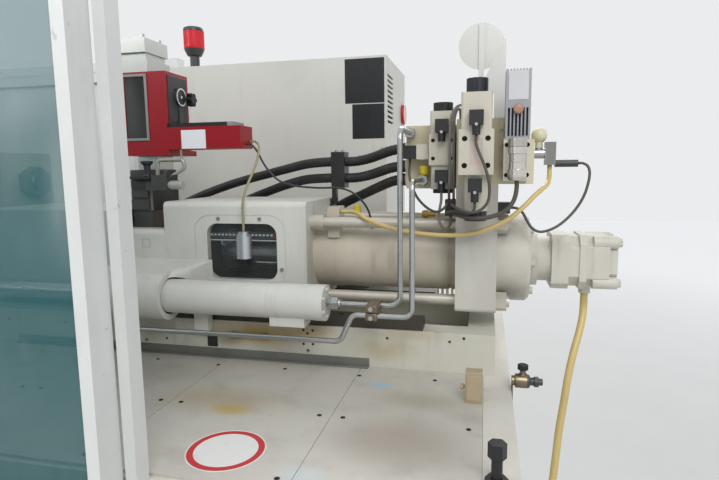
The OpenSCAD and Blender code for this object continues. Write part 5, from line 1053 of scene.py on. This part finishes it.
def make_deck_details():
    """Strip at the bed's foot, notch and bar on the bed, and the small box on the deck."""
    floor, face = DECK_Z + 0.2, BED_Y - 0.2
    piece("foot_strip", "base",
          metal("strip_grey", srgb(118, 118, 112), 0.5, dirt=0.5, shine=0.2),
          solid([((330, -186, floor), (1298, face, 987)), ((330, -173, 986), (1298, face, 1004))]), bevel=0.5)
    piece("bed_notch", "base", plastic("notch_black", srgb(30, 29, 28), 0.6),
          solid([((892, -173, 1008), (918, face, 1037)), ((895, -174, 1012), (915, -172, 1033))]), bevel=0.6)
    lugs = [((x, -182, 1037), (x + 5, face, 1049)) for x in (960, 1046)]
    piece("bed_bar", "base",
          metal("bar_grey", srgb(140, 138, 128), 0.4, (0.4, 5, 5), 0.4, shine=0.5),
          solid(lugs, [((955, -178, 1043), REAR_END, [(0, 4), (1, 5), (98, 5), (99, 4)], 20)]), bevel=0.3)
    piece("beige_box", "base",
          paint("box_beige", srgb(176, 160, 130), 0.5, 0.3, 0.1, chips=0.75),
          solid([((1520, -322, floor), (1552, -296, 1046)), ((1522, -324, 990), (1550, -321, 1040))],
                [((1519, -309, 1012), (-1, 0, 0), [(0, 4), (3, 4), (4, 6), (8, 6), (9, 4)], 18)]), bevel=1.0)


def make_separator_details():
    """Frame round the separator's glazed front, and the dark panel round its dial."""
    y = SEPARATOR_Y
    piece("door_frame", "carriage", trim_paint("frame_pale", srgb(142, 143, 140), 0.4),
          solid(frame_of(645, 717, 1513, 1679, y - 3, y, 7, 1)), bevel=2.0)
    wall = 768.1
    piece("side_panel", "carriage", plastic("side_black", srgb(44, 46, 48), 0.4), solid([
        ((wall, -90, 1560), (770, -4, 1606)), ((wall, -90, 1605), (770, -62, 1646)),
        ((wall, -90, 1645), (770, -4, 1676)), ((wall, -92, 1546), (771, -2, 1558))]), bevel=0.6)


# Stage


def lay_floor():
    """Pale floor that glows more and more far away, so that it runs into the backdrop."""
    bm = bmesh.new()
    bmesh.ops.create_grid(bm, x_segments=1, y_segments=1, size=14)
    mesh = bpy.data.meshes.new("floor")
    bm.to_mesh(mesh)
    bm.free()
    shade = Shade("pale_floor", Emission_Strength=1.0)
    away = shade.vector("LENGTH", shade.place, (0, 0, 0), 1)
    shade.set(Base_Color=shade.blend(srgb(214, 214, 212), srgb(206, 206, 204), shade.noise(3.0)),
              Emission_Color=shade.blend((0, 0, 0, 1), (0.46, 0.47, 0.48, 1), away.step(2.2, 8.0)),
              Roughness=shade.noise(20.0) * 0.1 + 0.6)
    mesh.materials.append(shade.material)
    floor = bpy.data.objects.new("floor", mesh)
    bpy.context.scene.collection.objects.link(floor)


def light_world():
    """Even studio light; camera, mirrors and panes see a paler backdrop instead."""
    world = bpy.data.worlds.new("studio")
    bpy.context.scene.world = world
    world.use_nodes = True
    tree = world.node_tree
    tree.nodes.clear()
    link = tree.links.new
    mix = tree.nodes.new("ShaderNodeMixShader")
    for slot, tone, strength in ((1, (0.92, 0.95, 1.0, 1), 0.52), (2, (0.83, 0.84, 0.85, 1), 1.0)):
        light = tree.nodes.new("ShaderNodeBackground")
        light.inputs["Color"].default_value = tone
        light.inputs["Strength"].default_value = strength
        link(light.outputs[0], mix.inputs[slot])
    ray = tree.nodes.new("ShaderNodeLightPath")
    seen = ray.outputs["Is Camera Ray"]
    for kind in ("Is Glossy Ray", "Is Transmission Ray"):
        either = tree.nodes.new("ShaderNodeMath")
        either.operation = "MAXIMUM"
        link(seen, either.inputs[0])
        link(ray.outputs[kind], either.inputs[1])
        seen = either.outputs[0]
    link(seen, mix.inputs[0])
    link(mix.outputs[0], tree.nodes.new("ShaderNodeOutputWorld").inputs[0])


def hang_lamps():
    """Three round soft lamps: one before the unit, one before the clamp, one behind the machine."""
    for name, place, target, size, power in (
            ("key", (2.6, -3.2, 4.2), (0.9, 0.0, 1.1), 2.8, 114),
            ("fill", (-3.0, -3.6, 3.2), (-0.4, 0.0, 1.0), 3.2, 86),
            ("rim", (1.2, 3.4, 4.0), (0.6, 0.2, 1.2), 3.0, 86)):
        lamp = bpy.data.lights.new(name, "AREA")
        lamp.shape = "DISK"
        lamp.size = size
        lamp.energy = power
        holder = bpy.data.objects.new(name, lamp)
        holder.location = place
        holder.rotation_euler = (Vector(target) - Vector(place)).to_track_quat("-Z", "Y").to_euler()
        bpy.context.scene.collection.objects.link(holder)


bpy.context.scene.view_settings.view_transform = "Standard"
aim_camera()
lay_cords()
for dress_part in (dress_base, dress_unit, dress_clamp, dress_separator, dress_valves, dress_guards,
                   dress_cabinet):
    dress_part()
for make in (set_screws, set_scale, make_beacon, make_throat, make_slide, make_water_valve, make_pipes,
             make_labels, make_cabinet_plates, make_amplifier_cap, make_red_tag, make_fittings, make_sign,
             make_deck_details, make_separator_details):
    make()
lay_floor()
light_world()
hang_lamps()
